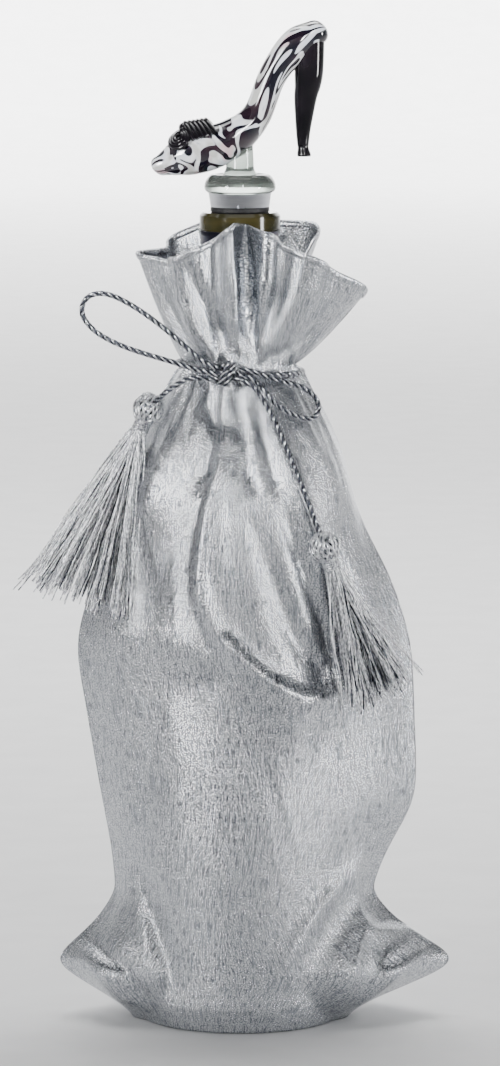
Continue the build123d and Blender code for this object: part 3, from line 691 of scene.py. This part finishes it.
# The frill's crests and valleys, anticlockwise from the right seam: the angle in degrees, and
# how far from the axis the cloth has flared at the frill's full height.
FRILL = np.array([
    (0, 68), (28, 27), (55, 52), (82, 25), (104, 34), (122, 27), (140, 36), (160, 31), (180, 43),
    (206, 28), (230, 40), (250, 25), (263, 28), (277, 16.5), (290, 32), (303, 27), (330, 43),
    (360, 68),
], float)
# The mouth's edge: the angle, and the drop below the frill's full height.
MOUTH_EDGE = np.array([
    (0, 29), (28, 25), (42, 11), (55, 6), (75, 4), (118, 3), (128, 6), (140, 10), (160, 13),
    (180, 14), (200, 16), (230, 13.5), (247, 7.5), (266, 1.5), (277, 2.5), (290, 4.5), (303, 8),
    (330, 17), (360, 29),
], float)
FRILL_START = 20.6  # the frill's distance from the axis where it leaves the cord
FRILL_CURVE = 0.82  # under 1, it flares most just above the cord
# How far the cloth bulges between a seam and the wrap, as a share of the way: heights, shares.
CORNER_FULLNESS = ([0, 20, 45], [0.12, 0.10, 0.045])
UNDERSIDE = 0.3  # the height of the cloth that lies under the bottle
BASE_SHARES = (0, 0.3, 0.6, 0.85, 0.97)  # its rows, from the bottom seam to the lowest level
CORNER_TOP = 70  # the height up to which the rows lie closer together
LEVEL_STEP = 0.5
LOW_SOFTENING, HIGH_SOFTENING = 7, 15  # how widely the levels are blended, in steps
LOW_END, LOW_FADE = 62, 14  # the height where the first has given way, and over how much


def across_panel(left, right, wrap, share, full):
    """A level of a panel: out of one seam, straight to the wrap, round it and on to the other."""
    turns = acos(min(1, wrap / left)), acos(min(1, wrap / right))
    runs = left * sin(turns[0]), right * sin(turns[1])
    arc = wrap * (pi - turns[0] - turns[1])
    run = share * (runs[0] + arc + runs[1])
    angle = pi - turns[0] - np.clip(run - runs[0], 0, arc) / wrap
    x, y = wrap * np.cos(angle), wrap * np.sin(angle)
    for turn, straight, beyond, hand in (
        (turns[0], runs[0], np.maximum(runs[0] - run, 0), -1),
        (turns[1], runs[1], np.maximum(run - runs[0] - arc, 0), 1),
    ):
        bulge = full * straight * np.sin(pi * np.clip(beyond / max(straight, 1e-6), 0, 1)) ** 2
        x += hand * (beyond * sin(turn) + bulge * cos(turn))
        y += -beyond * cos(turn) + bulge * sin(turn)
    return x, y


def frill_reach(angle, share):
    """How far the frill stands from the axis at angles in degrees, at shares of its height."""
    after = np.clip(np.searchsorted(FRILL[:, 0], angle, side="right"), 1, len(FRILL) - 1)
    (a0, r0), (a1, r1) = FRILL[after - 1].T, FRILL[after].T
    ease = (1 - np.cos(pi * (angle - a0) / (a1 - a0))) / 2
    return FRILL_START + (r0 + (r1 - r0) * ease - FRILL_START) * share**FRILL_CURVE


def softened(values, width):
    kernel = np.exp(-0.5 * (np.arange(-3 * width, 3 * width + 1) / width) ** 2)
    return np.convolve(np.pad(values, 3 * width, mode="edge"), kernel / kernel.sum(), mode="valid")


def panel_points(side):
    """The rows of a panel from the bottom seam to its mouth, before it is creased."""
    share = np.linspace(0, 1, ACROSS)
    x, y = across_panel(*LEVELS[0, 1:], share, CORNER_FULLNESS[1][0])
    flat = np.full(ACROSS, UNDERSIDE)
    rows = [np.column_stack([x, side * y * part, flat]) for part in BASE_SHARES]
    levels = np.arange(0, TIE - BAND + LEVEL_STEP, LEVEL_STEP)
    low = np.clip((LOW_END - levels) / LOW_FADE, 0, 1)
    left, right, wrap = (
        low * softened(column, LOW_SOFTENING) + (1 - low) * softened(column, HIGH_SOFTENING)
        for column in (np.interp(levels, LEVELS[:, 0], LEVELS[:, k]) for k in (1, 2, 3))
    )
    close = np.linspace(UNDERSIDE, CORNER_TOP, CORNER_ROWS, endpoint=False)
    wide = np.linspace(CORNER_TOP, TIE - BAND, BODY_ROWS - CORNER_ROWS)
    for height in (*close, *wide):
        reach = [np.interp(height, levels, values) for values in (left, right, wrap)]
        x, y = across_panel(*reach, share, np.interp(height, *CORNER_FULLNESS))
        rows.append(np.column_stack([x, side * y, np.full(ACROSS, height)]))
    angle = 180 - 180 * share if side > 0 else 180 + 180 * share
    ahead, out = np.cos(np.radians(angle)), np.sin(np.radians(angle))
    top = 1 - np.interp(angle, MOUTH_EDGE[:, 0], MOUTH_EDGE[:, 1]) / FRILL_HEIGHT
    for part in np.linspace(0, 1, FRILL_ROWS):
        reach = frill_reach(angle, top * part)
        height = TIE + BAND + FRILL_HEIGHT * top * part
        rows.append(np.column_stack([reach * ahead, reach * out, height]))
    return np.array(rows)


FOLD_SHAPE = 1.6  # between a pointed fold's 1 and a round one's 2


def crease(grid, line, wide):
    """How far a fold lifts the cloth: its line is (across, height, lift), wide its two flanks."""
    x, z = grid[:, :, 0], grid[:, :, 2]
    nearest, lift, flank = np.full(x.shape, np.inf), np.zeros(x.shape), np.ones(x.shape)
    for (x0, z0, h0), (x1, z1, h1) in zip(line, line[1:]):
        dx, dz = x1 - x0, z1 - z0
        share = np.clip(((x - x0) * dx + (z - z0) * dz) / (dx * dx + dz * dz), 0, 1)
        away = np.hypot(x - x0 - share * dx, z - z0 - share * dz)
        closer = away < nearest
        nearest = np.where(closer, away, nearest)
        lift = np.where(closer, h0 + share * (h1 - h0), lift)
        on_left = dx * (z - z0) - dz * (x - x0) > 0
        flank = np.where(closer, np.where(on_left, wide[0], wide[1]), flank)
    return lift * np.exp(-((nearest / flank) ** FOLD_SHAPE))


# Folds of the front panel: points (across, height, lift) along each, and its two flanks' widths.
FRONT_CREASES = [
    # the edge of the large pouch
    ([
        (0, 244, 0.5), (-1.5, 236.5, 1), (-6.5, 226.5, 1.5), (-7, 219.5, 2.5), (-8.5, 208.5, 3.5),
        (-12, 197.5, 4.5), (-13.5, 184.5, 5.5), (-14, 171.5, 6.5), (-13, 161, 7), (-8.5, 150.5, 7),
        (-0.5, 141, 6.5), (10, 131.5, 6), (22, 125, 5), (31, 125.5, 4), (36.5, 130, 3),
        (38, 136.5, 1.5),
    ], (3.5, 12)),
    # the valley outside it
    ([
        (-4.5, 236.5, -0.5), (-10, 226.5, -1.5), (-11.5, 219.5, -2), (-13.5, 208.5, -3),
        (-16.5, 197.5, -3.5), (-18, 184.5, -3.6), (-19, 171.5, -3.6), (-18, 161, -3.6),
        (-13, 148.5, -3.6), (-4.5, 138, -3.6), (8, 127.5, -3), (22, 120.5, -1),
    ], (5, 5)),
    # pleats running into the pouch
    ([
        (0, 239.5, -1), (2, 219.5, -2.6), (4.5, 201, -4), (8, 183, -4.2), (13.5, 166, -4.2),
        (19, 150.5, -4), (24.5, 141, -3), (31, 132, -1),
    ], (4, 4)),
    ([
        (5, 239.5, -1), (8.5, 223, -2.6), (13.5, 204.5, -4), (19, 186.5, -4.2), (23.5, 173.5, -4.2),
        (27.5, 159.5, -4), (31.5, 146.5, -3), (35, 137.5, -1),
    ], (3.5, 3.5)),
    ([
        (8, 239.5, 0.5), (14.5, 219.5, 2.4), (19.5, 204.5, 3.2), (23.5, 191, 3.4),
        (28.5, 171.5, 3.2), (32.5, 152.5, 2.6), (37.5, 136.5, 1),
    ], (3, 9)),
    # the pleat on the left
    ([
        (-14.5, 244.5, 0.5), (-21, 235.5, 0.5), (-24.5, 226.5, 1.5), (-28, 212, 3),
        (-32.5, 195.5, 3.5), (-40, 181.5, 2.5), (-46.5, 170, 1),
    ], (4, 8)),
    ([(-13.5, 246, -2), (-14, 239, -3), (-12.5, 231, -3), (-10, 224.5, -1)], (3, 3)),
    # broad hollows and soft ridges
    ([(-12.5, 143, -4), (-9, 132, -6), (0, 117.5, -6), (8, 98.5, -2)], (14, 14)),
    ([
        (-58, 146, 1), (-43.5, 148, 2.5), (-30, 147.5, 2.5), (-18, 145, 2.5), (-9, 137.5, 2),
        (2, 126.5, 1),
    ], (8, 14)),
    # the folds at the right corner
    ([
        (53, 70, 0), (46, 63, 1.2), (39, 56, 2.4), (28, 45.5, 2.8), (18, 30.5, 2), (12.5, 16, 0),
    ], (8, 3.5)),
    ([
        (40, 62, 0), (41, 55, 1.4), (42, 47, 2.6), (44, 39.5, 2.8), (49, 34, 2.8), (58, 32.5, 2.6),
        (67, 32.5, 1.8), (73, 32, 0.3),
    ], (2.2, 2.6)),
    ([(46, 37, 0.8), (44, 31, 2.4), (41.5, 22, 2.6), (38.5, 12, 2.6), (36, 5, 1.2)], (3, 3.4)),
    ([(75, 28, 0.3), (68, 25, 1.6), (57, 18.5, 2.4), (46, 10.5, 2.8), (39, 5, 1)], (3, 4.5)),
    ([(50, 46, -0.5), (56, 41, -1.8), (63, 36.5, -1.6), (70, 34, 0)], (3.5, 3)),
    ([(54, 25.5, -1.6), (50, 19, -2), (45, 15, -1)], (4.5, 4.5)),
    # the folds at the left corner
    ([(-45, 68, 0), (-39, 57, -1.8), (-33, 44, -2.6), (-27, 26, -1.8), (-22, 10, 0)], (5, 4)),
    ([(-64, 27, 0.3), (-59, 24.5, 1.6), (-51, 18.5, 2.4), (-43, 10.5, 2.8), (-35, 5, 1)], (3, 4.5)),
    ([
        (-60, 31, -0.5), (-52, 27.5, -2.2), (-43, 21.5, -2.4), (-36, 12, -1.6), (-33, 6, 0),
    ], (2.6, 2.6)),
    ([
        (-41, 60, 0), (-38, 50, 1.4), (-35, 38, 2.2), (-31.5, 24, 2.2), (-27, 10, 1), (-25, 4, 0),
    ], (2.6, 5)),
    # the hollow where the left tassel's head lies
    ([(-29, 236, -0.6), (-30, 229, -2.2), (-31, 222, -1.8), (-33, 215, -0.4)], (5.5, 5.5)),
    # under the bow
    ([(12.5, 239.5, 1), (23.5, 223, 2), (32.5, 208.5, 2), (40.5, 190, 1)], (5, 5)),
    ([(-9, 223, -2), (-16.5, 204.5, -4), (-24.5, 183, -4), (-29, 165, -2)], (9, 9)),
    # the frill
    ([(0.5, 296, -1), (2, 284, -3), (3, 268, -5), (3.5, 252, -3)], (3.5, 3.5)),
    ([(10.5, 292, 1.5), (9.5, 278, 2.5), (8, 266, 2.5), (5.5, 253, 1)], (2.2, 3)),
    ([(-3, 288, 0.5), (-2, 276, 2), (-1, 262, 2), (1, 252, 1)], (3, 1.8)),
    ([(-18.5, 281, -1), (-13, 269.5, -2), (-8, 258.5, -2), (-3, 249.5, -1)], (2.2, 2.2)),
    ([(-24.5, 284.5, 1.5), (-21, 270, 2.5), (-15, 257, 2.5), (-9, 249.5, 1)], (2.2, 6)),
    ([(-33, 281, -1), (-26, 266, -2.5), (-19, 254, -2)], (2.5, 2.5)),
    ([(19, 287, -1), (14.5, 271, -2.5), (10, 257, -2), (6.5, 248.5, -1)], (2.5, 3)),
    ([(25, 283, 0.5), (19, 267, 1.5), (12.5, 253, 1)], (2.5, 4)),
    ([(40, 264, -1.5), (29, 256.5, -3), (16, 249, -1.5)], (3, 4)),
]
# The back's folds: drawn down from the cord, with soft hollows round the bottle's shoulder.
BACK_CREASES = [
    ([(-4, 240, 1), (-9, 215, 2.5), (-15, 190, 3.5), (-18, 165, 3), (-16, 140, 1)], (4, 8)),
    ([(3, 240, -1), (5, 215, -2.5), (4, 188, -3), (8, 160, -1)], (4, 4)),
    ([(8, 240, 1), (15, 216, 2.5), (20, 190, 3), (27, 160, 1.5)], (7, 4)),
    ([(14, 240, -0.5), (24, 214, -2), (33, 188, -2.5), (40, 165, -1)], (4, 5)),
    ([(-12, 240, -1), (-22, 214, -2), (-30, 188, -2.5), (-36, 160, -1)], (4, 5)),
    ([(-18, 238, 1), (-31, 208, 2), (-41, 180, 1)], (4, 7)),
    ([(-40, 128, 1), (-15, 120, 2.5), (12, 126, 2.5), (38, 116, 1)], (9, 13)),
    ([(-20, 96, -1.5), (6, 88, -3), (30, 98, -1.5)], (12, 12)),
    ([(-48, 58, 1), (-36, 44, 2.5), (-26, 22, 1.5), (-20, 8, 0.5)], (3.5, 9)),
    ([(-56, 30, 1.5), (-46, 26, 2.2), (-36, 12, 1)], (2.5, 3)),
    ([(49, 62, 1), (37, 46, 2.5), (27, 24, 1.5), (20, 8, 0.5)], (9, 3.5)),
    ([(66, 36, 1.2), (52, 28, 2), (38, 14, 1)], (3, 2.5)),
    ([(-6, 250, -1), (-8, 268, -3), (-10, 290, -3)], (4, 4)),
    ([(8, 250, 1), (12, 270, 2.5), (15, 292, 2)], (4, 5)),
    ([(16, 250, -1), (22, 264, -2), (28, 278, -2)], (3.5, 4)),
]


def facing(grid, side):
    """The outward direction at every point of a panel."""
    normal = np.cross(np.gradient(grid, axis=1), np.gradient(grid, axis=0))
    normal /= np.maximum(np.linalg.norm(normal, axis=2), 1e-9)[:, :, None]
    return -side * normal


PLEATS = 9  # over a panel's width
PLEAT_DEPTH = 2.6
PINCH_DEPTH, PINCH_HEIGHT = 0.7, 1.6  # how far the cord bites into the cloth, and over what height
FADE_BELOW, FADE_ABOVE = 12, 14  # the heights over which the pleats run out


def gathers(grid, share, seed):
    """The small pleats that the cord bunches, fading below and above it."""
    chance = np.random.default_rng(seed)
    wander = sum(
        chance.uniform(0.2, 0.5) * np.sin(2 * pi * (k * share + chance.uniform(0, 1)))
        for k in (1, 2, 3)
    )
    wave = 0.5 + 0.5 * np.cos(2 * pi * (PLEATS * share + wander))
    height = grid[:, :, 2]
    below = np.exp(-np.maximum(TIE - BAND - height, 0) / FADE_BELOW)
    above = np.exp(-np.maximum(height - TIE - BAND, 0) / FADE_ABOVE)
    pinch = np.exp(-(((height - TIE) / PINCH_HEIGHT) ** 2))
    return -(PLEAT_DEPTH * wave[None, :]) * below * above - PINCH_DEPTH * pinch


def wrinkles(grid, seed):
    """The cloth's own unevenness: soft drapes and small creases, drawn out up the bag."""
    lift = np.empty(grid.shape[:2])
    for index in np.ndindex(lift.shape):
        x, y, z = grid[index]
        drape = noise.noise((x / 26 + seed, y / 26, z / 60))
        crease = 1 - 2 * abs(noise.noise((x / 9 + z / 40, y / 9 + seed, z / 34)))
        fine = noise.noise((x / 3.2, y / 3.2, z / 9 + seed))
        calm = min(1, 0.45 + max(z - 20, 0) / 90)
        lift[index] = calm * (0.9 * drape + 0.3 * crease**3 + 0.08 * fine)
    return lift


PUSH_FROM = 8  # the height below which the cloth turns in under the bottle
PUSH_NEAR, PUSH_EASE = 5, 0.5  # how near to the glass the push starts, and how softly


def off_the_glass(grid):
    """The cloth, pushed out wherever a fold would sink it into the bottle."""
    reach = np.hypot(grid[:, :, 0], grid[:, :, 1])
    glass = np.interp(grid[:, :, 2], *GLASS_OUTLINE) + STAND_OFF
    glass = np.where(grid[:, :, 2] > PUSH_FROM, glass, 0)
    over = reach - glass
    softly = glass + PUSH_EASE * np.log1p(np.exp(np.minimum(over, PUSH_NEAR) / PUSH_EASE))
    factor = np.where((glass > 0) & (over < PUSH_NEAR), softly, reach) / np.maximum(reach, 1e-6)
    return grid * np.dstack([factor, factor, np.ones_like(factor)])


FLOOR_HOLD = 9.0  # the height over which the cloth is kept flat towards the floor


def creased(side, strokes, seed):
    """A panel with its gathers, folds and wrinkles, held still along its seams and the floor."""
    grid = panel_points(side)
    share = np.linspace(0, 1, ACROSS)
    lift = gathers(grid, share, seed)
    for line, wide in strokes:
        lift += crease(grid, line, wide)
    lift += wrinkles(grid, seed)
    held = np.sin(pi * np.clip(share, 0.001, 0.999)) ** 0.35
    floor = np.clip(grid[:, :, 2] / FLOOR_HOLD, 0, 1) ** 0.7
    lift = lift * np.minimum(held, 1)[None, :] * floor
    return off_the_glass(grid + facing(grid, side) * lift[:, :, None])


def panel_mesh(grid):
    """The cloth of a panel, with its flat pattern as the fabric's coordinates."""
    rows, columns = grid.shape[:2]
    bm = bmesh.new()
    bmesh.ops.create_grid(bm, x_segments=columns - 1, y_segments=rows - 1, size=1)
    uv = bm.loops.layers.uv.new("UVMap")
    steps = np.linalg.norm(np.diff(grid, axis=0), axis=2).mean(axis=1)
    run = np.concatenate([[0], np.cumsum(steps)])
    length = PANEL[1] if rows > BODY_ROWS else run[-1] * MM
    flat = [(u * PANEL[0], v * length / run[-1]) for v in run for u in np.linspace(0, 1, columns)]
    for vertex, point, place in zip(bm.verts, grid.reshape(-1, 3) * MM, flat):
        vertex.co = point
        for loop in vertex.link_loops:
            loop[uv].uv = place
    bm.normal_update()
    return bm


CLOTH_THICKNESS = 0.35 * MM


def add_panel(name, node, side, strokes, seed):
    grid = creased(side, strokes, seed)
    bm = panel_mesh(grid)
    if sum(face.normal.y * face.calc_area() for face in bm.faces) * side < 0:
        bmesh.ops.reverse_faces(bm, faces=bm.faces)
    mesh = bpy.data.meshes.new(name)
    bm.to_mesh(mesh)
    bm.free()
    piece = as_piece(name, mesh, "bagged_bottle", "lame", CLOTH)
    cloth = piece.modifiers.new("cloth thickness", "SOLIDIFY")
    cloth.thickness = CLOTH_THICKNESS
    cloth.offset = -1
    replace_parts(piece, node)
    return piece, grid


# Round the doubled edge: how far below the rim, and how far out of the cloth.
HEM_PROFILE = [
    (2.6, 0.15), (2.3, 0.55), (1.2, 0.6), (0.3, 0.5), (-0.1, 0.0), (0.3, -0.6), (1.2, -0.75),
    (2.3, -0.7), (2.6, -0.4),
]


def add_hem(name, node, grid, side):
    """The mouth's edge turned under: a narrow doubled band that folds over the rim."""
    rim = grid[-1]
    down = grid[-7] - rim
    down /= np.linalg.norm(down, axis=1)[:, None]
    out = facing(grid, side)[-2]
    rows = np.array([rim + down * along + out * lift for along, lift in HEM_PROFILE])
    bm = panel_mesh(rows)
    piece = as_piece(name, shaped(bm, name), "bagged_bottle", "lame", CLOTH)
    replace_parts(piece, node)
    return piece


front, front_grid = add_panel("front_panel_cloth", "bag_front_panel", -1, FRONT_CREASES, 5)
back, back_grid = add_panel("back_panel_cloth", "bag_back_panel", 1, BACK_CREASES, 9)
front_hem = add_hem("front_mouth_hem", "bag_front_hem", front_grid, -1)
back_hem = add_hem("back_mouth_hem", "bag_back_hem", back_grid, 1)


# Round the two raw edges: how far in from the seam, and how far to their front.
SEAM_PROFILE = [
    (0.6, 0.35), (2.2, 0.5), (4.6, 0.45), (4.8, 0.0), (4.6, -0.45), (2.2, -0.5), (0.6, -0.35),
]


def add_seam_allowance(side, column):
    """The two raw edges inside a side seam, lying together against the cloth."""
    first = len(BASE_SHARES)
    edge = front_grid[first : first + BODY_ROWS - 8 : 3, column]
    inward = np.array([-side, 0.0, 0.0])
    ripple = 0.5 * np.sin(np.arange(len(edge)) * 0.9)
    rows = []
    for along, thick in SEAM_PROFILE:
        aside = np.array([0, 1.0, 0]) * (thick + ripple * along / 5)[:, None]
        rows.append(edge + inward * along + aside)
    bm = panel_mesh(np.array(rows))
    name = "left" if side < 0 else "right"
    piece = as_piece(f"{name}_seam_edges", shaped(bm, name), "bagged_bottle", "lame", CLOTH)
    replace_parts(piece, f"{name}_seam_allowance")


add_seam_allowance(-1, 0)
add_seam_allowance(1, ACROSS - 1)

# ------------------------ the glass shoe
SHOE_BASE = MOUTH  # the level that the shoe's heights are counted from
# The shoe's sections: right of the axis, above the base, lean in degrees, half height, half width.
SHOE_SECTIONS = [
    (-28.9, 17.0, 62.0, 4.0, 3.9), (-19.5, 21.0, 68.0, 7.9, 7.7), (-10.5, 23.9, 62.0, 8.3, 8.6),
    (-2.0, 27.8, 52.0, 7.2, 8.0), (6.2, 35.8, 32.0, 5.5, 6.3), (12.2, 50.4, 24.0, 5.3, 5.6),
    (20.6, 61.4, 45.0, 6.3, 6.4), (28.0, 66.0, 62.0, 4.8, 5.2),
]
SHOE_TOE = (-32.3, 16.0)
SHOE_BACK = (31.8, 67.4)
SWIRL_RUN = [0.0, 1.3, 2.4, 3.3, 4.1, 4.6, 5.3, 6.0]  # the marbling's place at each section
HEEL_SECTIONS = [
    (26.4, 68.0, 3.6, 3.6), (26.0, 63.5, 5.0, 4.8), (25.4, 52.0, 5.3, 4.4), (24.9, 46.0, 4.8, 3.9),
    (24.1, 41.6, 4.2, 3.4), (23.3, 30.6, 2.8, 2.6), (23.2, 24.3, 2.1, 2.1),
]
HEEL_TIP_SECTIONS = [
    (23.2, 24.6, 2.05, 2.05), (23.3, 23.4, 2.05, 2.05), (23.5, 21.8, 2.45, 2.45),
    (23.6, 20.9, 2.6, 2.6), (23.6, 20.4, 2.4, 2.4),
]


def between(sections, at):
    """Sections at places along a list of sections, on smooth curves through them all."""
    table = np.array(sections, float)
    padded = np.vstack([2 * table[0] - table[1], table, 2 * table[-1] - table[-2]])
    rows = []
    for place in at:
        index = min(int(place), len(table) - 2)
        t = place - index
        p0, p1, p2, p3 = padded[index : index + 4]
        rows.append(
            0.5 * (2 * p1 + (p2 - p0) * t + (2 * p0 - 5 * p1 + 4 * p2 - p3) * t**2)
            + 0.5 * (3 * p1 - p0 - 3 * p2 + p3) * t**3
        )
    return rows


DOME_TURNS = (0.35, 0.65, 0.88, 1.08, 1.25, 1.38, 1.48)  # round a dome's curve, in radians


def domed(section, tip):
    """Sections that close an end in a dome, from a section to a tip (x, z)."""
    x, z, lean, half_height, half_width, run = section
    rows = []
    for turn in DOME_TURNS:
        share, grow = sin(turn), cos(turn)
        place = (x + (tip[0] - x) * share, z + (tip[1] - z) * share)
        rows.append((*place, lean, half_height * grow, half_width * grow, run))
    return rows


def oval(x, z, lean, half_height, half_width):
    """A unit circle's matrix for an oval across the shoe."""
    turn = radians(lean)
    across, along = Vector((0, 1, 0)), Vector((sin(turn), 0, cos(turn)))
    up = along.cross(across)
    matrix = Matrix.Identity(4)
    for column, axis in enumerate((across * half_width * MM, up * half_height * MM, along)):
        matrix.col[column] = (*axis, 0)
    matrix.col[3] = (x * MM, 0, (SHOE_BASE + z) * MM, 1)
    return matrix


LOFT_SIDES = 32
SWIRL_ROUND = 4.2  # how much of the marbling goes once round the shoe


def lofted(sections, runs=None):
    """A skin through ovals, closed at both ends, mapped round it and along the given runs."""
    bm = bmesh.new()
    uv = bm.loops.layers.uv.new("UVMap")
    rings, place = [], {}
    for index, matrix in enumerate(sections):
        made = bmesh.ops.create_circle(bm, segments=LOFT_SIDES, radius=1, matrix=matrix)["verts"]
        for step, vertex in enumerate(made):
            place[vertex] = (step / LOFT_SIDES, runs[index] if runs else index)
        rings.append(list({edge for vertex in made for edge in vertex.link_edges}))
    for first, second in zip(rings, rings[1:]):
        bmesh.ops.bridge_loops(bm, edges=first + second)
    for ring in (rings[0], rings[-1]):
        bmesh.ops.contextual_create(bm, geom=ring)
    for face in bm.faces:
        last = max(place[vertex][0] for vertex in face.verts) > 0.9
        for loop in face.loops:
            around, run = place[loop.vert]
            loop[uv].uv = (SWIRL_ROUND * (around + (last and around < 0.1)), run)
    return bm


def add_glass(name, bm, material, slot, node):
    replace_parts(as_piece(name, shaped(bm, name), "stopper", slot, material), node)


def add_shoe():
    table = [(*section, run) for section, run in zip(SHOE_SECTIONS, SWIRL_RUN)]
    rows = between(table, np.linspace(0, len(table) - 1, 57))
    rows = domed(rows[0], SHOE_TOE)[::-1] + rows + domed(rows[-1], SHOE_BACK)
    skin = lofted([oval(*row[:5]) for row in rows], [row[5] for row in rows])
    add_glass("marbled_shoe", skin, MARBLED, "marbled_glass", "shoe_body")
    for name, sections, node in (
        ("black_heel", HEEL_SECTIONS, "shoe_heel"),
        ("black_heel_tip", HEEL_TIP_SECTIONS, "shoe_heel_tip"),
    ):
        rows = between(sections, np.linspace(0, len(sections) - 1, 8 * len(sections)))
        skin = lofted([oval(x, z, 0, depth, width) for x, z, depth, width in rows])
        add_glass(name, skin, BLACK, "black_glass", node)


def on_shoe(along, turn, lift):
    """A point off the shoe's skin: at a section, so far round from its top, lifted so far."""
    x, z, lean, half_height, half_width = between(SHOE_SECTIONS, [along])[0]
    up, side = (half_height + lift) * cos(turn), (half_width + lift) * sin(turn)
    tilt = radians(lean)
    return x - up * cos(tilt), side, SHOE_BASE + z + up * sin(tilt)


BOW_RIBS = 6
RIB_RADIUS = 0.95 * MM
BOW_RING_SIZES = (1.0, 0.72, 0.44)  # the rings in one another on each side
BEAD_SIZE = Vector((2.0, 3.4, 1.9)) * MM


def add_bow():
    """The bow on the vamp: a bead, ribs over it side by side, and drooping rings on each side."""
    lines = []
    for rib in range(BOW_RIBS):
        start, height = 1.42 + 0.19 * rib, 2.5 - 0.16 * rib
        lines.append([
            on_shoe(start + 0.1 * abs(turn), turn, 0.5 + height * cos(1.45 * turn) ** 2)
            for turn in np.linspace(-1.0, 1.0, 25)
        ])
    for side in (-1, 1):
        for size in BOW_RING_SIZES:
            wide, high, lift = 0.36 * size, 0.52 * size, 1.6 - 0.7 * size
            lines.append([
                on_shoe(0.98 + wide * cos(turn), side * (0.62 + high * sin(turn)), lift)
                for turn in np.linspace(0, 2 * pi, 37)
            ])
    ribs = round_lines("bow", [np.array(line) * MM for line in lines], RIB_RADIUS, 8, (BLACK,))
    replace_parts(as_piece("vamp_bow_ribs", ribs, "stopper", "black_glass"), "vamp_bow")
    bm = bmesh.new()
    bmesh.ops.create_icosphere(bm, subdivisions=3, radius=1)
    bmesh.ops.scale(bm, verts=bm.verts, vec=BEAD_SIZE)
    bmesh.ops.translate(bm, verts=bm.verts, vec=Vector(on_shoe(1.3, 0, 1.6)) * MM)
    add_glass("vamp_bow_bead", bm, BLACK, "black_glass", "vamp_bow")


add_shoe()
add_bow()
